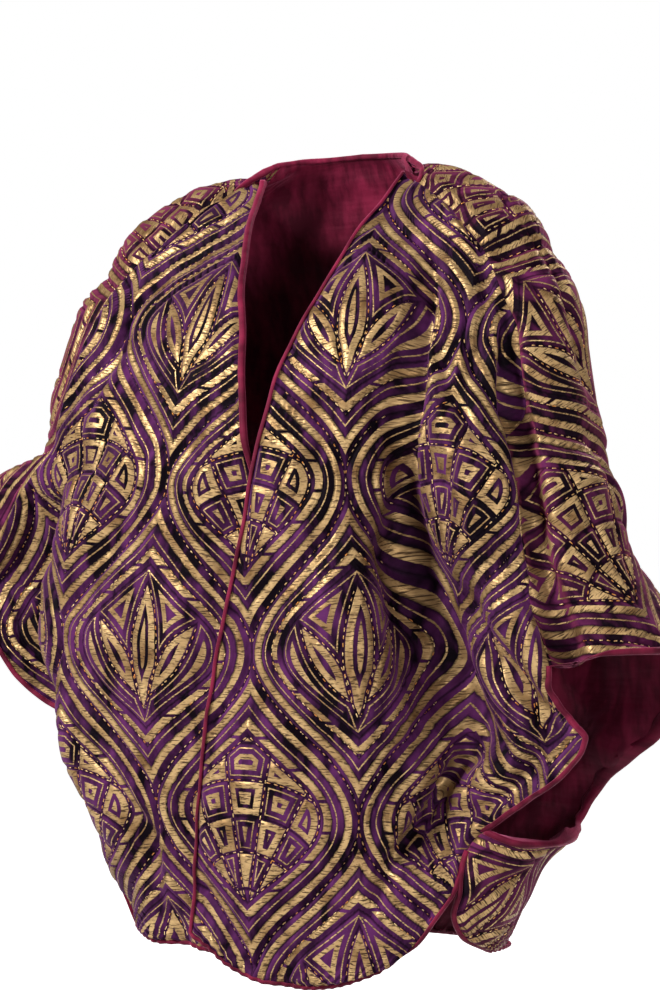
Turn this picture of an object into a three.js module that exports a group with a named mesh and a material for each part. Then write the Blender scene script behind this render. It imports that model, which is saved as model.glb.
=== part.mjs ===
// A collarless cocoon jacket of quilted velvet with very wide batwing sleeves.
// Millimetres, +Z up. +X is the wearer's left, -Y is the front. The origin is at the
// base of the neck, midway between the shoulders, where the wearer carries the jacket.
//
// The whole jacket is one smooth hollow form, cut into pieces as a maker would cut them:
// a back, a left front and a right front in velvet, and the same three in lining.
// A point on the form is given by its turn (degrees round the body from the centre
// front, positive towards the wearer's left) and its height z.
import * as THREE from "three";

// Cloth walls and the clearances between pieces
const VELVET_WALL = 2.6; // quilted velvet with its padding
const LINING_WALL = 1.2;
const SEAM_CLEARANCE = 0.3; // between two pieces across a seam
const LINING_CLEARANCE = 0.45; // between the velvet and its lining
const LAP_DROP = 6.5; // how far the right front lies under the left front
const LINING_SET_BACK = 0.8; // the lining ends this far inside each free edge

// How finely each sheet is divided across its width
const FRONT_COLUMNS = 14;
const BACK_COLUMNS = 26;

// Turns a list of rows into objects with named columns.
const table = (names, rows) =>
  rows.map((row) => Object.fromEntries(names.map((name, i) => [name, row[i]])));

// Level sections, top to bottom: half widths to the wearer's left and right, the depth
// of the centre front, the widest line and the centre back, and how pointed (over 1) or
// how square (under 1) the front and back curves are.
const LEVELS = table(
  ["z", "left", "right", "front", "side", "back", "frontCurve", "backCurve"],
  [
    [24, 58, 58, 6, 14, 50, 1.0, 1.0],
    [6, 78, 78, -4, 6, 56, 1.1, 1.1],
    [-13, 132, 136, -20, -8, 64, 1.25, 1.2],
    [-27, 163, 172, -34, -18, 70, 1.3, 1.2],
    [-44, 196, 204, -50, -26, 76, 1.25, 1.15],
    [-60, 224, 228, -66, -32, 82, 1.2, 1.1],
    [-95, 257, 256, -97, -42, 90, 1.1, 1.05],
    [-140, 277, 284, -128, -47, 97, 1.0, 1.0],
    [-185, 287, 296, -152, -50, 101, 0.95, 0.95],
    [-240, 297, 309, -176, -50, 103, 0.92, 0.92],
    [-290, 313, 326, -186, -50, 102, 0.9, 0.9],
    [-340, 329, 400, -192, -50, 100, 0.9, 0.9],
    [-400, 346, 465, -195, -50, 97, 0.9, 0.9],
    [-440, 368, 492, -197, -50, 95, 0.9, 0.9],
    [-480, 393, 496, -199, -50, 95, 0.9, 0.9],
    [-520, 412, 478, -200, -50, 95, 0.9, 0.9],
    [-555, 421, 448, -201, -50, 95, 0.9, 0.9],
    [-585, 412, 418, -201, -50, 95, 0.9, 0.9],
    [-615, 382, 384, -200, -50, 96, 0.9, 0.9],
    [-650, 328, 332, -199, -50, 97, 0.9, 0.9],
    [-680, 286, 282, -198, -50, 98, 0.9, 0.9],
    [-710, 252, 248, -197, -50, 98, 0.9, 0.9],
    [-740, 236, 230, -194, -50, 97, 0.9, 0.9],
    [-770, 220, 213, -191, -50, 95, 0.9, 0.9],
    [-800, 205, 196, -188, -50, 92, 0.9, 0.9],
    [-835, 190, 178, -182, -50, 88, 0.9, 0.9],
  ],
);

// The two fronts, neck to hem, a row for each station: the free front edge (x measured
// from the centre towards the front's own side, so it is negative where it laps over),
// and the edge where the front meets the back: first the seam over the arm, from the
// sleeve head to the cuff, then the cuff's rim, then the short seam under the arm, and
// last the side vent, where front and back hang apart.
const FRONT_COLUMN_NAMES = ["v", "edgeX", "edgeZ", "turn", "z"];
const LEFT_FRONT = table(FRONT_COLUMN_NAMES, [
  [0.0, 82, -13, 40.5, -26],
  [0.04, 79, -27, 43, -45],
  [0.09, 74, -49, 45.5, -72],
  [0.15, 60, -92, 51, -107],
  [0.21, 46, -138, 55, -145],
  [0.28, 31, -184, 60, -190],
  [0.36, 19, -232, 60, -245],
  [0.44, 6, -300, 56, -300],
  [0.5, -2, -345, 54.4, -351],
  [0.56, -10, -395, 53, -405],
  [0.62, -22, -450, 49.5, -455],
  [0.67, -32, -500, 48.2, -507],
  [0.7, -38, -530, 47, -530],
  [0.735, -44, -562, 49.5, -558],
  [0.76, -47, -585, 54, -576],
  [0.8, -52, -622, 54.3, -606],
  [0.835, -57, -655, 54.8, -634],
  [0.865, -61, -685, 56.3, -662],
  [0.89, -65, -708, 58.5, -690],
  [0.905, -68, -724, 58, -706],
  [0.93, -70, -742, 55.5, -728],
  [0.955, -73, -760, 52.5, -756],
  [0.98, -76, -775, 48.5, -784],
  [1.0, -78, -786, 42, -804],
]);
const RIGHT_FRONT = table(FRONT_COLUMN_NAMES, [
  [0.0, 82, -13, 40.5, -26],
  [0.04, 79, -27, 43, -45],
  [0.09, 74, -49, 45.5, -72],
  [0.15, 60, -92, 51, -107],
  [0.21, 46, -138, 55, -145],
  [0.28, 31, -184, 59, -188],
  [0.36, 19, -232, 60, -235],
  [0.44, 6, -300, 59, -282],
  [0.5, 0, -345, 58, -322],
  [0.56, -8, -395, 57.5, -362],
  [0.62, -14, -450, 57, -400],
  [0.67, -20, -500, 57, -430],
  [0.71, -25, -540, 55.5, -470],
  [0.75, -30, -578, 55.5, -515],
  [0.79, -36, -615, 57.5, -560],
  [0.82, -40, -640, 60.5, -602],
  [0.85, -44, -665, 65.5, -638],
  [0.88, -47, -690, 72.5, -672],
  [0.905, -50, -712, 80, -694],
  [0.93, -53, -736, 80, -708],
  [0.945, -55, -752, 79, -724],
  [0.965, -58, -772, 77, -748],
  [0.983, -60, -793, 73, -772],
  [1.0, -63, -812, 66, -794],
]);

// The back has a station for each station of the fronts. Where it is sewn to them it
// takes their turn and z. Between the two seams it has the back half of each cuff's rim.
const BACK_CENTRE_Z = [
  16, -8, -36, -74, -114, -155, -198, -244, -286, -322, -355, -385, -430, -485, -542,
  -600, -650, -690, -716, -732, -750, -770, -790, -812,
];
const CUFF_TOP = 11; // station where the seam over the arm ends
const CUFF_FOOT = 18; // station where the seam under the arm starts
const VENT_TOP = 19; // station where that seam ends and the side vent opens
// The back's own edges: its half of each cuff's rim, and its side of each vent
const EDGE_COLUMN_NAMES = ["turn", "z"];
const LEFT_BACK_RIM = table(EDGE_COLUMN_NAMES, [
  [64, -495],
  [96, -494],
  [117, -560],
  [123, -630],
  [113, -678],
  [86, -686],
]);
const RIGHT_BACK_RIM = table(EDGE_COLUMN_NAMES, [
  [74, -432],
  [100, -440],
  [115, -500],
  [121, -590],
  [121, -655],
  [104, -684],
]);
const LEFT_BACK_VENT = table(EDGE_COLUMN_NAMES, [
  [57, -726],
  [57.5, -750],
  [65, -778],
  [82, -797],
]);
const RIGHT_BACK_VENT = table(EDGE_COLUMN_NAMES, [
  [80, -726],
  [81, -750],
  [86, -776],
  [98, -797],
]);

// Height of the neck edge of the back, by turn, alike on both sides
const NECKLINE = table(EDGE_COLUMN_NAMES, [
  [40.5, -26],
  [50, -14],
  [60, -6],
  [75, 2],
  [90, 6],
  [120, 12],
  [180, 16],
]);
const NECK_REACH = 0.12; // share of the back's length over which its rows follow the neck
const LEFT_HEM_DIP = 34; // how far the hem of a front hangs below its two corners
const RIGHT_HEM_DIP = 4;
const HEM_REACH = 0.35; // share of a front's length over which its rows follow the hem
const ROW_BEND = 1.15; // how the back's rows bend between the sides and the middle

// Folds. Each runs from z0 down to z1, through four turns, evenly spaced in height. It is
// near wide towards the centre front and far wide towards the side, goes depth inwards
// (a negative depth is a ridge), and fades in and out over a share of its length.
const FOLDS = table(
  ["z0", "z1", "turns", "near", "far", "depth", "fade0", "fade1"],
  [
    [-70, -480, [32, 28, 24, 21], 26, 22, 22, 0.5, 0.4], // left armpit, down the chest
    [-250, -735, [29, 28, 28, 57], 30, 46, 84, 0.4, 0.12], // left, body and sleeve
    [-160, -450, [46, 45, 43, 42], 34, 34, -16, 0.5, 0.4], // left, upper sleeve's roll
    [-110, -560, [54, 58, 55, 50], 12, 14, 8, 0.3, 0.3], // left, the seam over the arm
    [-470, -610, [36, 41, 46, 52], 18, 20, 9, 0.5, 0.4], // left sleeve, to the cuff
    [-540, -700, [40, 45, 51, 58], 18, 22, 9, 0.5, 0.4], // left sleeve, lower
    [-270, -745, [-45, -44, -48, -86], 32, 64, 105, 0.35, 0.25], // right, body and sleeve
    [-130, -560, [-28, -34, -34, -32], 34, 30, 10, 0.5, 0.5], // right chest
    [-380, -860, [-12, -14, -16, -17], 26, 30, 6, 0.4, 0], // right front, long ripple
    [-470, -880, [13, 12, 11, 10], 24, 28, 6, 0.4, 0], // left front, long ripple
    [-470, -880, [-26, -29, -32, -34], 26, 30, 7, 0.4, 0], // right front, side ripple
    [-150, -700, [150, 155, 158, 160], 40, 40, 12, 0.4, 0.4], // back, left of the middle
    [-200, -760, [-146, -149, -153, -158], 44, 40, 12, 0.4, 0.4], // back, right of it
    [-330, -880, [176, 172, 170, 173], 40, 36, 8, 0.4, 0], // back, middle
    [-190, -780, [116, 120, 130, 142], 46, 46, 24, 0.4, 0.3], // back, by the left arm
    [-200, -780, [-114, -121, -131, -142], 50, 46, 24, 0.4, 0.3], // back, by the right arm
  ],
);
const FOLD_RADIUS = 260; // turns a difference in turn into a length along the cloth

const radians = THREE.MathUtils.degToRad;
const clamp = THREE.MathUtils.clamp;
const smoothstep = THREE.MathUtils.smoothstep;

// A smooth curve through a column of a table, as a cubic through each pair of rows with
// the slope at a row taken from its neighbours, and held flat at a local high or low.
function through(rows, key, column, at) {
  const rising = rows[rows.length - 1][key] > rows[0][key];
  const ordered = rising ? rows : [...rows].reverse();
  const x = clamp(at, ordered[0][key], ordered[ordered.length - 1][key]);
  let i = 0;
  while (i < ordered.length - 2 && ordered[i + 1][key] < x) i += 1;
  const chord = (k) => {
    const [a, b] = [ordered[k], ordered[k + 1]];
    return (b[column] - a[column]) / (b[key] - a[key]);
  };
  const slope = (k) => {
    if (k <= 0) return chord(0);
    if (k >= ordered.length - 1) return chord(ordered.length - 2);
    const [before, after] = [chord(k - 1), chord(k)];
    return before * after <= 0 ? 0 : (2 * before * after) / (before + after);
  };
  const [p, q] = [ordered[i], ordered[i + 1]];
  const length = q[key] - p[key];
  const t = (x - p[key]) / length;
  const [t2, t3] = [t * t, t * t * t];
  return (
    (2 * t3 - 3 * t2 + 1) * p[column] +
    (t3 - 2 * t2 + t) * length * slope(i) +
    (3 * t2 - 2 * t3) * q[column] +
    (t3 - t2) * length * slope(i + 1)
  );
}

// The form before its folds
function smoothForm(turn, z) {
  const level = (column) => through(LEVELS, "z", column, z);
  const angle = radians(turn);
  const [across, along] = [Math.sin(angle), Math.cos(angle)];
  const half = across > 0 ? level("left") : level("right");
  const side = level("side");
  const [end, curve] =
    along > 0 ? [level("front"), level("frontCurve")] : [level("back"), level("backCurve")];
  const y = side + (end - side) * Math.pow(Math.abs(along), curve);
  return new THREE.Vector3(half * across, y, z);
}

// How far the folds push the cloth inwards at a point of the form
function foldDepth(turn, z) {
  const wrapped = THREE.MathUtils.euclideanModulo(turn + 180, 360) - 180;
  let depth = 0;
  for (const fold of FOLDS) {
    const length = fold.z1 - fold.z0;
    const t = (z - fold.z0) / length;
    if (t <= 0 || t >= 1) continue;
    const [a, b, c, d] = fold.turns;
    const [square, cube] = [9 * a - 22.5 * b + 18 * c - 4.5 * d, 4.5 * (3 * b - 3 * c + d - a)];
    const line = -5.5 * a + 9 * b - 4.5 * c + d;
    const path = a + line * t + square * t * t + cube * t * t * t;
    const slope = line + 2 * square * t + 3 * cube * t * t;
    const slant = Math.hypot(1, (radians(slope) * FOLD_RADIUS) / length);
    const aside = (Math.sign(a) * radians(wrapped - path) * FOLD_RADIUS) / slant;
    const width = aside < 0 ? fold.near : fold.far;
    const strength =
      smoothstep(t, 0, Math.max(fold.fade0, 1e-6)) *
      smoothstep(1 - t, 0, Math.max(fold.fade1, 1e-6));
    depth += fold.depth * strength * Math.exp(-((aside / width) ** 2));
  }
  return depth;
}

// The outward normal of a surface given as a function of turn and z
function normalOf(surface, turn, z) {
  const [turnStep, zStep] = [0.4, 1.2];
  const around = surface(turn + turnStep, z).sub(surface(turn - turnStep, z));
  const down = surface(turn, z - zStep).sub(surface(turn, z + zStep));
  return down.cross(around).normalize();
}

// The form with its folds
function foldedForm(turn, z) {
  const depth = foldDepth(turn, z);
  const inward = normalOf(smoothForm, turn, z).multiplyScalar(-depth);
  return smoothForm(turn, z).add(inward);
}

// The turn at which the smooth form is x from the centre, near the centre front
function turnAt(x, z) {
  const half = through(LEVELS, "z", x > 0 ? "left" : "right", z);
  return THREE.MathUtils.radToDeg(Math.asin(x / half));
}

// How far the right front drops inwards to lie under the left front
const LAP_START = -290;
const LAP_FULL = -338;
const LAP_MARGIN = [60, 10];
function lapDrop(x, z) {
  const edge = -Math.abs(through(LEFT_FRONT, "edgeZ", "edgeX", z));
  const below = smoothstep(-z, -LAP_START, -LAP_FULL);
  return LAP_DROP * below * smoothstep(x, edge - LAP_MARGIN[0], edge - LAP_MARGIN[1]);
}

// The turn and z of every point of a front, row by row. side is 1 for the left front
// and -1 for the right front.
function frontPlaces(stations, side, hemDip) {
  return stations.map((station) => {
    const first = turnAt(side * station.edgeX, station.edgeZ);
    const last = side * station.turn;
    const hemward = Math.max(0, (station.v - 1 + HEM_REACH) / HEM_REACH) ** 1.5;
    const places = [];
    for (let i = 0; i <= FRONT_COLUMNS; i += 1) {
      const u = i / FRONT_COLUMNS;
      const turn = first + (last - first) * u;
      const dip = hemDip * hemward * Math.sin(Math.PI * u) ** 0.8;
      places.push({ turn, z: station.edgeZ + (station.z - station.edgeZ) * u - dip });
    }
    return places;
  });
}

// The edge of the back on one side, station by station
function backEdge(front, rim, vent) {
  return front.map((station, row) => {
    if (row > CUFF_TOP && row < CUFF_FOOT) return rim[row - CUFF_TOP - 1];
    return row > VENT_TOP ? vent[row - VENT_TOP - 1] : station;
  });
}

// The turn and z of every point of the back, from the wearer's left round to the right.
// The first row follows the neckline, and the rows below it follow it less and less.
function backPlaces() {
  const leftEdge = backEdge(LEFT_FRONT, LEFT_BACK_RIM, LEFT_BACK_VENT);
  const rightEdge = backEdge(RIGHT_FRONT, RIGHT_BACK_RIM, RIGHT_BACK_VENT);
  const placeAt = (row, u) => {
    const [left, right, centreZ] = [leftEdge[row], rightEdge[row], BACK_CENTRE_Z[row]];
    const sideZ = u < 0.5 ? left.z : right.z;
    const share = Math.abs(2 * u - 1) ** ROW_BEND;
    const turn = left.turn + (360 - right.turn - left.turn) * u;
    return { turn, z: centreZ + (sideZ - centreZ) * share };
  };
  const last = BACK_CENTRE_Z.length - 1;
  return BACK_CENTRE_Z.map((_, row) => {
    const neckward = Math.max(0, 1 - row / last / NECK_REACH);
    const places = [];
    for (let i = 0; i <= BACK_COLUMNS; i += 1) {
      const [place, top] = [placeAt(row, i / BACK_COLUMNS), placeAt(0, i / BACK_COLUMNS)];
      const neck = through(NECKLINE, "turn", "z", Math.min(top.turn, 360 - top.turn));
      place.z += (neck - top.z) * neckward;
      places.push(place);
    }
    return places;
  });
}

// Points of a sheet at a depth under the form: rows of Vector3
function layer(places, surface, depth) {
  return places.map((row) =>
    row.map(({ turn, z }) => {
      const inward = normalOf(surface, turn, z).multiplyScalar(-depth);
      return surface(turn, z).add(inward);
    }),
  );
}

// Moves the sheet's outer rows and columns in by a distance, along the sheet
function drawIn(points, sides, distance) {
  const [rows, columns] = [points.length, points[0].length];
  const pull = (edge, next) => {
    const step = next.clone().sub(edge);
    edge.add(step.setLength(Math.min(distance, step.length() / 2)));
  };
  if (sides.top) points[0].forEach((p, i) => pull(p, points[1][i]));
  if (sides.foot) points[rows - 1].forEach((p, i) => pull(p, points[rows - 2][i]));
  for (const row of points) {
    if (sides.start) pull(row[0], row[1]);
    if (sides.end) pull(row[columns - 1], row[columns - 2]);
  }
  return points;
}

// A closed wall between an outer and an inner layer of the same size. Each cell is cut
// along its shorter diagonal. flip is true where the columns run to the wearer's right.
function wall(outer, inner, flip) {
  const [rows, columns] = [outer.length, outer[0].length];
  const points = [...outer.flat(), ...inner.flat()];
  const position = points.flatMap((p) => [p.x, p.y, p.z]);
  const under = rows * columns;
  const at = (row, column) => row * columns + column;
  const index = [];
  const triangle = (a, b, c) => (flip ? index.push(a, c, b) : index.push(a, b, c));
  const quad = (a, b, c, d, alongAC = true) => {
    if (alongAC) {
      triangle(a, b, c);
      triangle(a, c, d);
    } else {
      triangle(a, b, d);
      triangle(b, c, d);
    }
  };
  for (let row = 0; row < rows - 1; row += 1) {
    for (let i = 0; i < columns - 1; i += 1) {
      const [a, b] = [at(row, i), at(row + 1, i)];
      const [c, d] = [at(row + 1, i + 1), at(row, i + 1)];
      const shorter = points[a].distanceTo(points[c]) <= points[b].distanceTo(points[d]);
      quad(a, b, c, d, shorter);
      quad(under + a, under + d, under + c, under + b, shorter);
    }
    const [first, below] = [at(row, 0), at(row + 1, 0)];
    quad(first, under + first, under + below, below);
    const [last, lastBelow] = [at(row, columns - 1), at(row + 1, columns - 1)];
    quad(last, lastBelow, under + lastBelow, under + last);
  }
  for (let i = 0; i < columns - 1; i += 1) {
    const [a, d] = [at(0, i), at(0, i + 1)];
    quad(a, d, under + d, under + a);
    const [b, c] = [at(rows - 1, i), at(rows - 1, i + 1)];
    quad(b, under + b, under + c, c);
  }
  const geometry = new THREE.BufferGeometry();
  geometry.setAttribute("position", new THREE.Float32BufferAttribute(position, 3));
  geometry.setIndex(index);
  geometry.computeVertexNormals();
  return geometry;
}

const velvet = () =>
  new THREE.MeshStandardMaterial({ color: 0x4a1a5c, roughness: 0.55, metalness: 0 });
const liningVelvet = () =>
  new THREE.MeshStandardMaterial({ color: 0x7d1745, roughness: 0.5, metalness: 0 });

const jacket = new THREE.Group();

// One panel as two walls: the velvet, and the lining that lies inside it
function addPanel(name, places, surface, flip) {
  const seam = { start: name === "back", end: true };
  const half = SEAM_CLEARANCE / 2;
  const sheet = (depth, inset, sides) =>
    drawIn(drawIn(layer(places, surface, depth), seam, half), sides, inset);
  const free = { top: true, foot: true, start: true, end: true };
  const liningTop = VELVET_WALL + LINING_CLEARANCE;
  const pieces = [
    [name, 0, VELVET_WALL, 0, velvet()],
    ["lining_" + name, liningTop, liningTop + LINING_WALL, LINING_SET_BACK, liningVelvet()],
  ];
  for (const [pieceName, outside, inside, inset, material] of pieces) {
    const shape = wall(sheet(outside, inset, free), sheet(inside, inset, free), flip);
    const mesh = new THREE.Mesh(shape, material);
    mesh.name = pieceName;
    jacket.add(mesh);
  }
}

// The right front is the same form, lowered where the left front laps over it.
function underLap(turn, z) {
  const here = foldedForm(turn, z);
  const drop = lapDrop(here.x, z);
  return here.add(normalOf(foldedForm, turn, z).multiplyScalar(-drop));
}

addPanel("back", backPlaces(), foldedForm, false);
addPanel("front_left", frontPlaces(LEFT_FRONT, 1, LEFT_HEM_DIP), foldedForm, false);
addPanel("front_right", frontPlaces(RIGHT_FRONT, -1, RIGHT_HEM_DIP), underLap, true);

export default jacket;
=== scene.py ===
# %% [markdown]
# # A quilted velvet cocoon jacket
# The jacket hangs as one wide hollow form: a back and two fronts, each with half of both
# sleeves cut in one with it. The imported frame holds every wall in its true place. This
# lesson dresses it, piece by piece: fine cloth over the same form, quilting, stencilled
# gold, running stitches, and a lining that rolls out over the edges.

# %% Load the frame and keep its box
from math import cos, pi, radians, sin

import bpy
import numpy as np
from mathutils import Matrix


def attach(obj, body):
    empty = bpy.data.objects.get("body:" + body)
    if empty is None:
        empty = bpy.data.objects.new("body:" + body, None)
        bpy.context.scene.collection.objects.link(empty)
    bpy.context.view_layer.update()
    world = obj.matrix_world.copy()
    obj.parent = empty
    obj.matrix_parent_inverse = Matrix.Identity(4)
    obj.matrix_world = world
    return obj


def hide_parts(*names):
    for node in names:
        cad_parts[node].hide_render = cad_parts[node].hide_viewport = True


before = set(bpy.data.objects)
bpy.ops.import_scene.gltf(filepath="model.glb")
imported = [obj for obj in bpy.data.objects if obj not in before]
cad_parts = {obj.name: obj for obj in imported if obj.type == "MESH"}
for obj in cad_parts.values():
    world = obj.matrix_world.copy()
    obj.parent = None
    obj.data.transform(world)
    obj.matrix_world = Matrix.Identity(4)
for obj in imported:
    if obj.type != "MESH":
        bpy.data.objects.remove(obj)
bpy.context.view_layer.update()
print("frame nodes:", sorted(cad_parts))

# %% [markdown]
# ## The camera comes first
# The jacket was looked at from 28 degrees round to the wearer's left, 2.7 metres away and
# level with the middle of the garment. A level camera keeps upright lines upright. The
# origin of the jacket stands a little right of the picture's middle, so the camera steps
# sideways by the same amount and needs no lens shift.

# %% Place the camera
CAMERA_AROUND = 28.0  # degrees from the front, towards the wearer's left
CAMERA_AWAY = 2.7
CAMERA_HEIGHT = -0.346
CAMERA_ASIDE = -0.0105  # along its own right
PICTURE_HIGH = 990  # pixels
FOCAL_PIXELS = CAMERA_AWAY * 1000 / 1.05  # 1.05 mm of the jacket to a pixel at the origin

turn_round = radians(CAMERA_AROUND)
to_right = np.array([cos(turn_round), sin(turn_round), 0.0])
away = np.array([sin(turn_round), -cos(turn_round), 0.0])
camera_data = bpy.data.cameras.new("camera")
camera_data.sensor_fit = "VERTICAL"
camera_data.sensor_height = 24.0
camera_data.lens = camera_data.sensor_height * FOCAL_PIXELS / PICTURE_HIGH
camera = bpy.data.objects.new("camera", camera_data)
camera.location = CAMERA_AWAY * away + CAMERA_ASIDE * to_right + [0, 0, CAMERA_HEIGHT]
camera.rotation_euler = (pi / 2, 0.0, turn_round)
bpy.context.scene.collection.objects.link(camera)
bpy.context.scene.camera = camera
print("camera lens", round(camera_data.lens, 1), "mm at", [round(c, 3) for c in camera.location])

# %% [markdown]
# ## Curves through short tables
# A garment's sizes are a short table: how wide and how deep it is at each level. Between
# two rows the size has to run smoothly, without bulging past them. A cubic does that when
# its slope at a row comes from both neighbours, and is flat where the row is a local high
# or low. The same curve serves every table here, for whole arrays at once.

# %% Smooth curves through tables
def through(keys, values, at):
    """A cubic through each pair of rows. The slope at a row is the harmonic mean of the
    slopes on both sides of it, or zero where those have opposite signs."""
    order = np.argsort(keys)
    key, value = np.asarray(keys, float)[order], np.asarray(values, float)[order]
    at = np.clip(at, key[0], key[-1])
    chord = np.diff(value) / np.diff(key)
    product, total = chord[:-1] * chord[1:], chord[:-1] + chord[1:]
    inside = np.where(product > 0, 2 * product / np.where(product > 0, total, 1.0), 0.0)
    slope = np.concatenate([chord[:1], inside, chord[-1:]])
    i = np.clip(np.searchsorted(key, at) - 1, 0, len(key) - 2)
    length = key[i + 1] - key[i]
    t = (at - key[i]) / length
    return ((2 * t**3 - 3 * t**2 + 1) * value[i] + (t**3 - 2 * t**2 + t) * length * slope[i]
            + (3 * t**2 - 2 * t**3) * value[i + 1] + (t**3 - t**2) * length * slope[i + 1])


def smooth(low, high, x):
    """0 below low, 1 above high, and 3t^2 - 2t^3 between them. It falls where low is the
    larger of the two."""
    t = np.clip((x - low) / (high - low), 0.0, 1.0)
    return t * t * (3 - 2 * t)


# %% [markdown]
# ## The form
# A point of the jacket is given by its turn, in degrees round the body from the centre
# front, and its height. Each level is an oval with its own half widths, depths and
# pointedness. All lengths are in millimetres until a mesh is made.

# %% Level sections of the form
# z, half width left and right, depth of front, side and back, curve of front and back
LEVELS = np.array([
    [24, 58, 58, 6, 14, 50, 1.0, 1.0],
    [6, 78, 78, -4, 6, 56, 1.1, 1.1],
    [-13, 132, 136, -20, -8, 64, 1.25, 1.2],
    [-27, 163, 172, -34, -18, 70, 1.3, 1.2],
    [-44, 196, 204, -50, -26, 76, 1.25, 1.15],
    [-60, 224, 228, -66, -32, 82, 1.2, 1.1],
    [-95, 257, 256, -97, -42, 90, 1.1, 1.05],
    [-140, 277, 284, -128, -47, 97, 1.0, 1.0],
    [-185, 287, 296, -152, -50, 101, 0.95, 0.95],
    [-240, 297, 309, -176, -50, 103, 0.92, 0.92],
    [-290, 313, 326, -186, -50, 102, 0.9, 0.9],
    [-340, 329, 400, -192, -50, 100, 0.9, 0.9],
    [-400, 346, 465, -195, -50, 97, 0.9, 0.9],
    [-440, 368, 492, -197, -50, 95, 0.9, 0.9],
    [-480, 393, 496, -199, -50, 95, 0.9, 0.9],
    [-520, 412, 478, -200, -50, 95, 0.9, 0.9],
    [-555, 421, 448, -201, -50, 95, 0.9, 0.9],
    [-585, 412, 418, -201, -50, 95, 0.9, 0.9],
    [-615, 382, 384, -200, -50, 96, 0.9, 0.9],
    [-650, 328, 332, -199, -50, 97, 0.9, 0.9],
    [-680, 286, 282, -198, -50, 98, 0.9, 0.9],
    [-710, 252, 248, -197, -50, 98, 0.9, 0.9],
    [-740, 236, 230, -194, -50, 97, 0.9, 0.9],
    [-770, 220, 213, -191, -50, 95, 0.9, 0.9],
    [-800, 205, 196, -188, -50, 92, 0.9, 0.9],
    [-835, 190, 178, -182, -50, 88, 0.9, 0.9],
])
LEFT, RIGHT, FRONT, SIDE, BACK, FRONT_CURVE, BACK_CURVE = range(1, 8)
print(len(LEVELS), "level sections")


def level(column, z):
    """The smooth curve through one column of the level sections, at the height z."""
    return through(LEVELS[:, 0], LEVELS[:, column], z)


def smooth_form(turn, z):
    """x is half the width times the sine of the turn. y runs from the side's depth to the
    end's depth by a power of the cosine."""
    turn, z = np.broadcast_arrays(np.asarray(turn, float), np.asarray(z, float))
    across, along = np.sin(np.radians(turn)), np.cos(np.radians(turn))
    half = np.where(across > 0, level(LEFT, z), level(RIGHT, z))
    end = np.where(along > 0, level(FRONT, z), level(BACK, z))
    curve = np.where(along > 0, level(FRONT_CURVE, z), level(BACK_CURVE, z))
    side = level(SIDE, z)
    y = side + (end - side) * np.abs(along) ** curve
    return np.stack([half * across, y, z], axis=-1)


def unit(vectors):
    """Each vector divided by its own length."""
    return vectors / np.maximum(np.linalg.norm(vectors, axis=-1, keepdims=True), 1e-9)


def normal_of(surface, turn, z):
    """The outward normal: the cross product of the step down and the step round."""
    turn_step, z_step = 0.4, 1.2  # degrees and mm, short beside any fold
    around = surface(turn + turn_step, z) - surface(turn - turn_step, z)
    down = surface(turn, z - z_step) - surface(turn, z + z_step)
    return unit(np.cross(down, around))


# %% [markdown]
# ## Folds and creases
# Where an arm hangs, spare cloth falls into a few deep valleys, and between them the
# padded cloth breaks into small soft creases. Both are written the same way: a path down
# the cloth, a width on each side, a depth, and how it fades in and out. The big folds are
# in the frame's walls too. The small creases belong to the cloth's own surface, and the
# hidden sides get theirs as well.

# %% Tables of folds and creases
# z of the start and end, four turns evenly spaced in height, width towards the centre
# front and towards the side, depth (negative for a ridge), share that fades at each end
FOLDS = [
    (-70, -480, (32, 28, 24, 21), 26, 22, 22, 0.5, 0.4),
    (-250, -735, (29, 28, 28, 57), 30, 46, 84, 0.4, 0.12),
    (-160, -450, (46, 45, 43, 42), 34, 34, -16, 0.5, 0.4),
    (-110, -560, (54, 58, 55, 50), 12, 14, 8, 0.3, 0.3),
    (-470, -610, (36, 41, 46, 52), 18, 20, 9, 0.5, 0.4),
    (-540, -700, (40, 45, 51, 58), 18, 22, 9, 0.5, 0.4),
    (-270, -745, (-45, -44, -48, -86), 32, 64, 105, 0.35, 0.25),
    (-130, -560, (-28, -34, -34, -32), 34, 30, 10, 0.5, 0.5),
    (-380, -860, (-12, -14, -16, -17), 26, 30, 6, 0.4, 0),
    (-470, -880, (13, 12, 11, 10), 24, 28, 6, 0.4, 0),
    (-470, -880, (-26, -29, -32, -34), 26, 30, 7, 0.4, 0),
    (-150, -700, (150, 155, 158, 160), 40, 40, 12, 0.4, 0.4),
    (-200, -760, (-146, -149, -153, -158), 44, 40, 12, 0.4, 0.4),
    (-330, -880, (176, 172, 170, 173), 40, 36, 8, 0.4, 0),
    (-190, -780, (116, 120, 130, 142), 46, 46, 24, 0.4, 0.3),
    (-200, -780, (-114, -121, -131, -142), 50, 46, 24, 0.4, 0.3),
]
FOLD_RADIUS = 260  # turns a difference in turn into a length along the cloth
SHORTEST_FADE = 1e-6  # in place of a fade of no length


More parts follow.
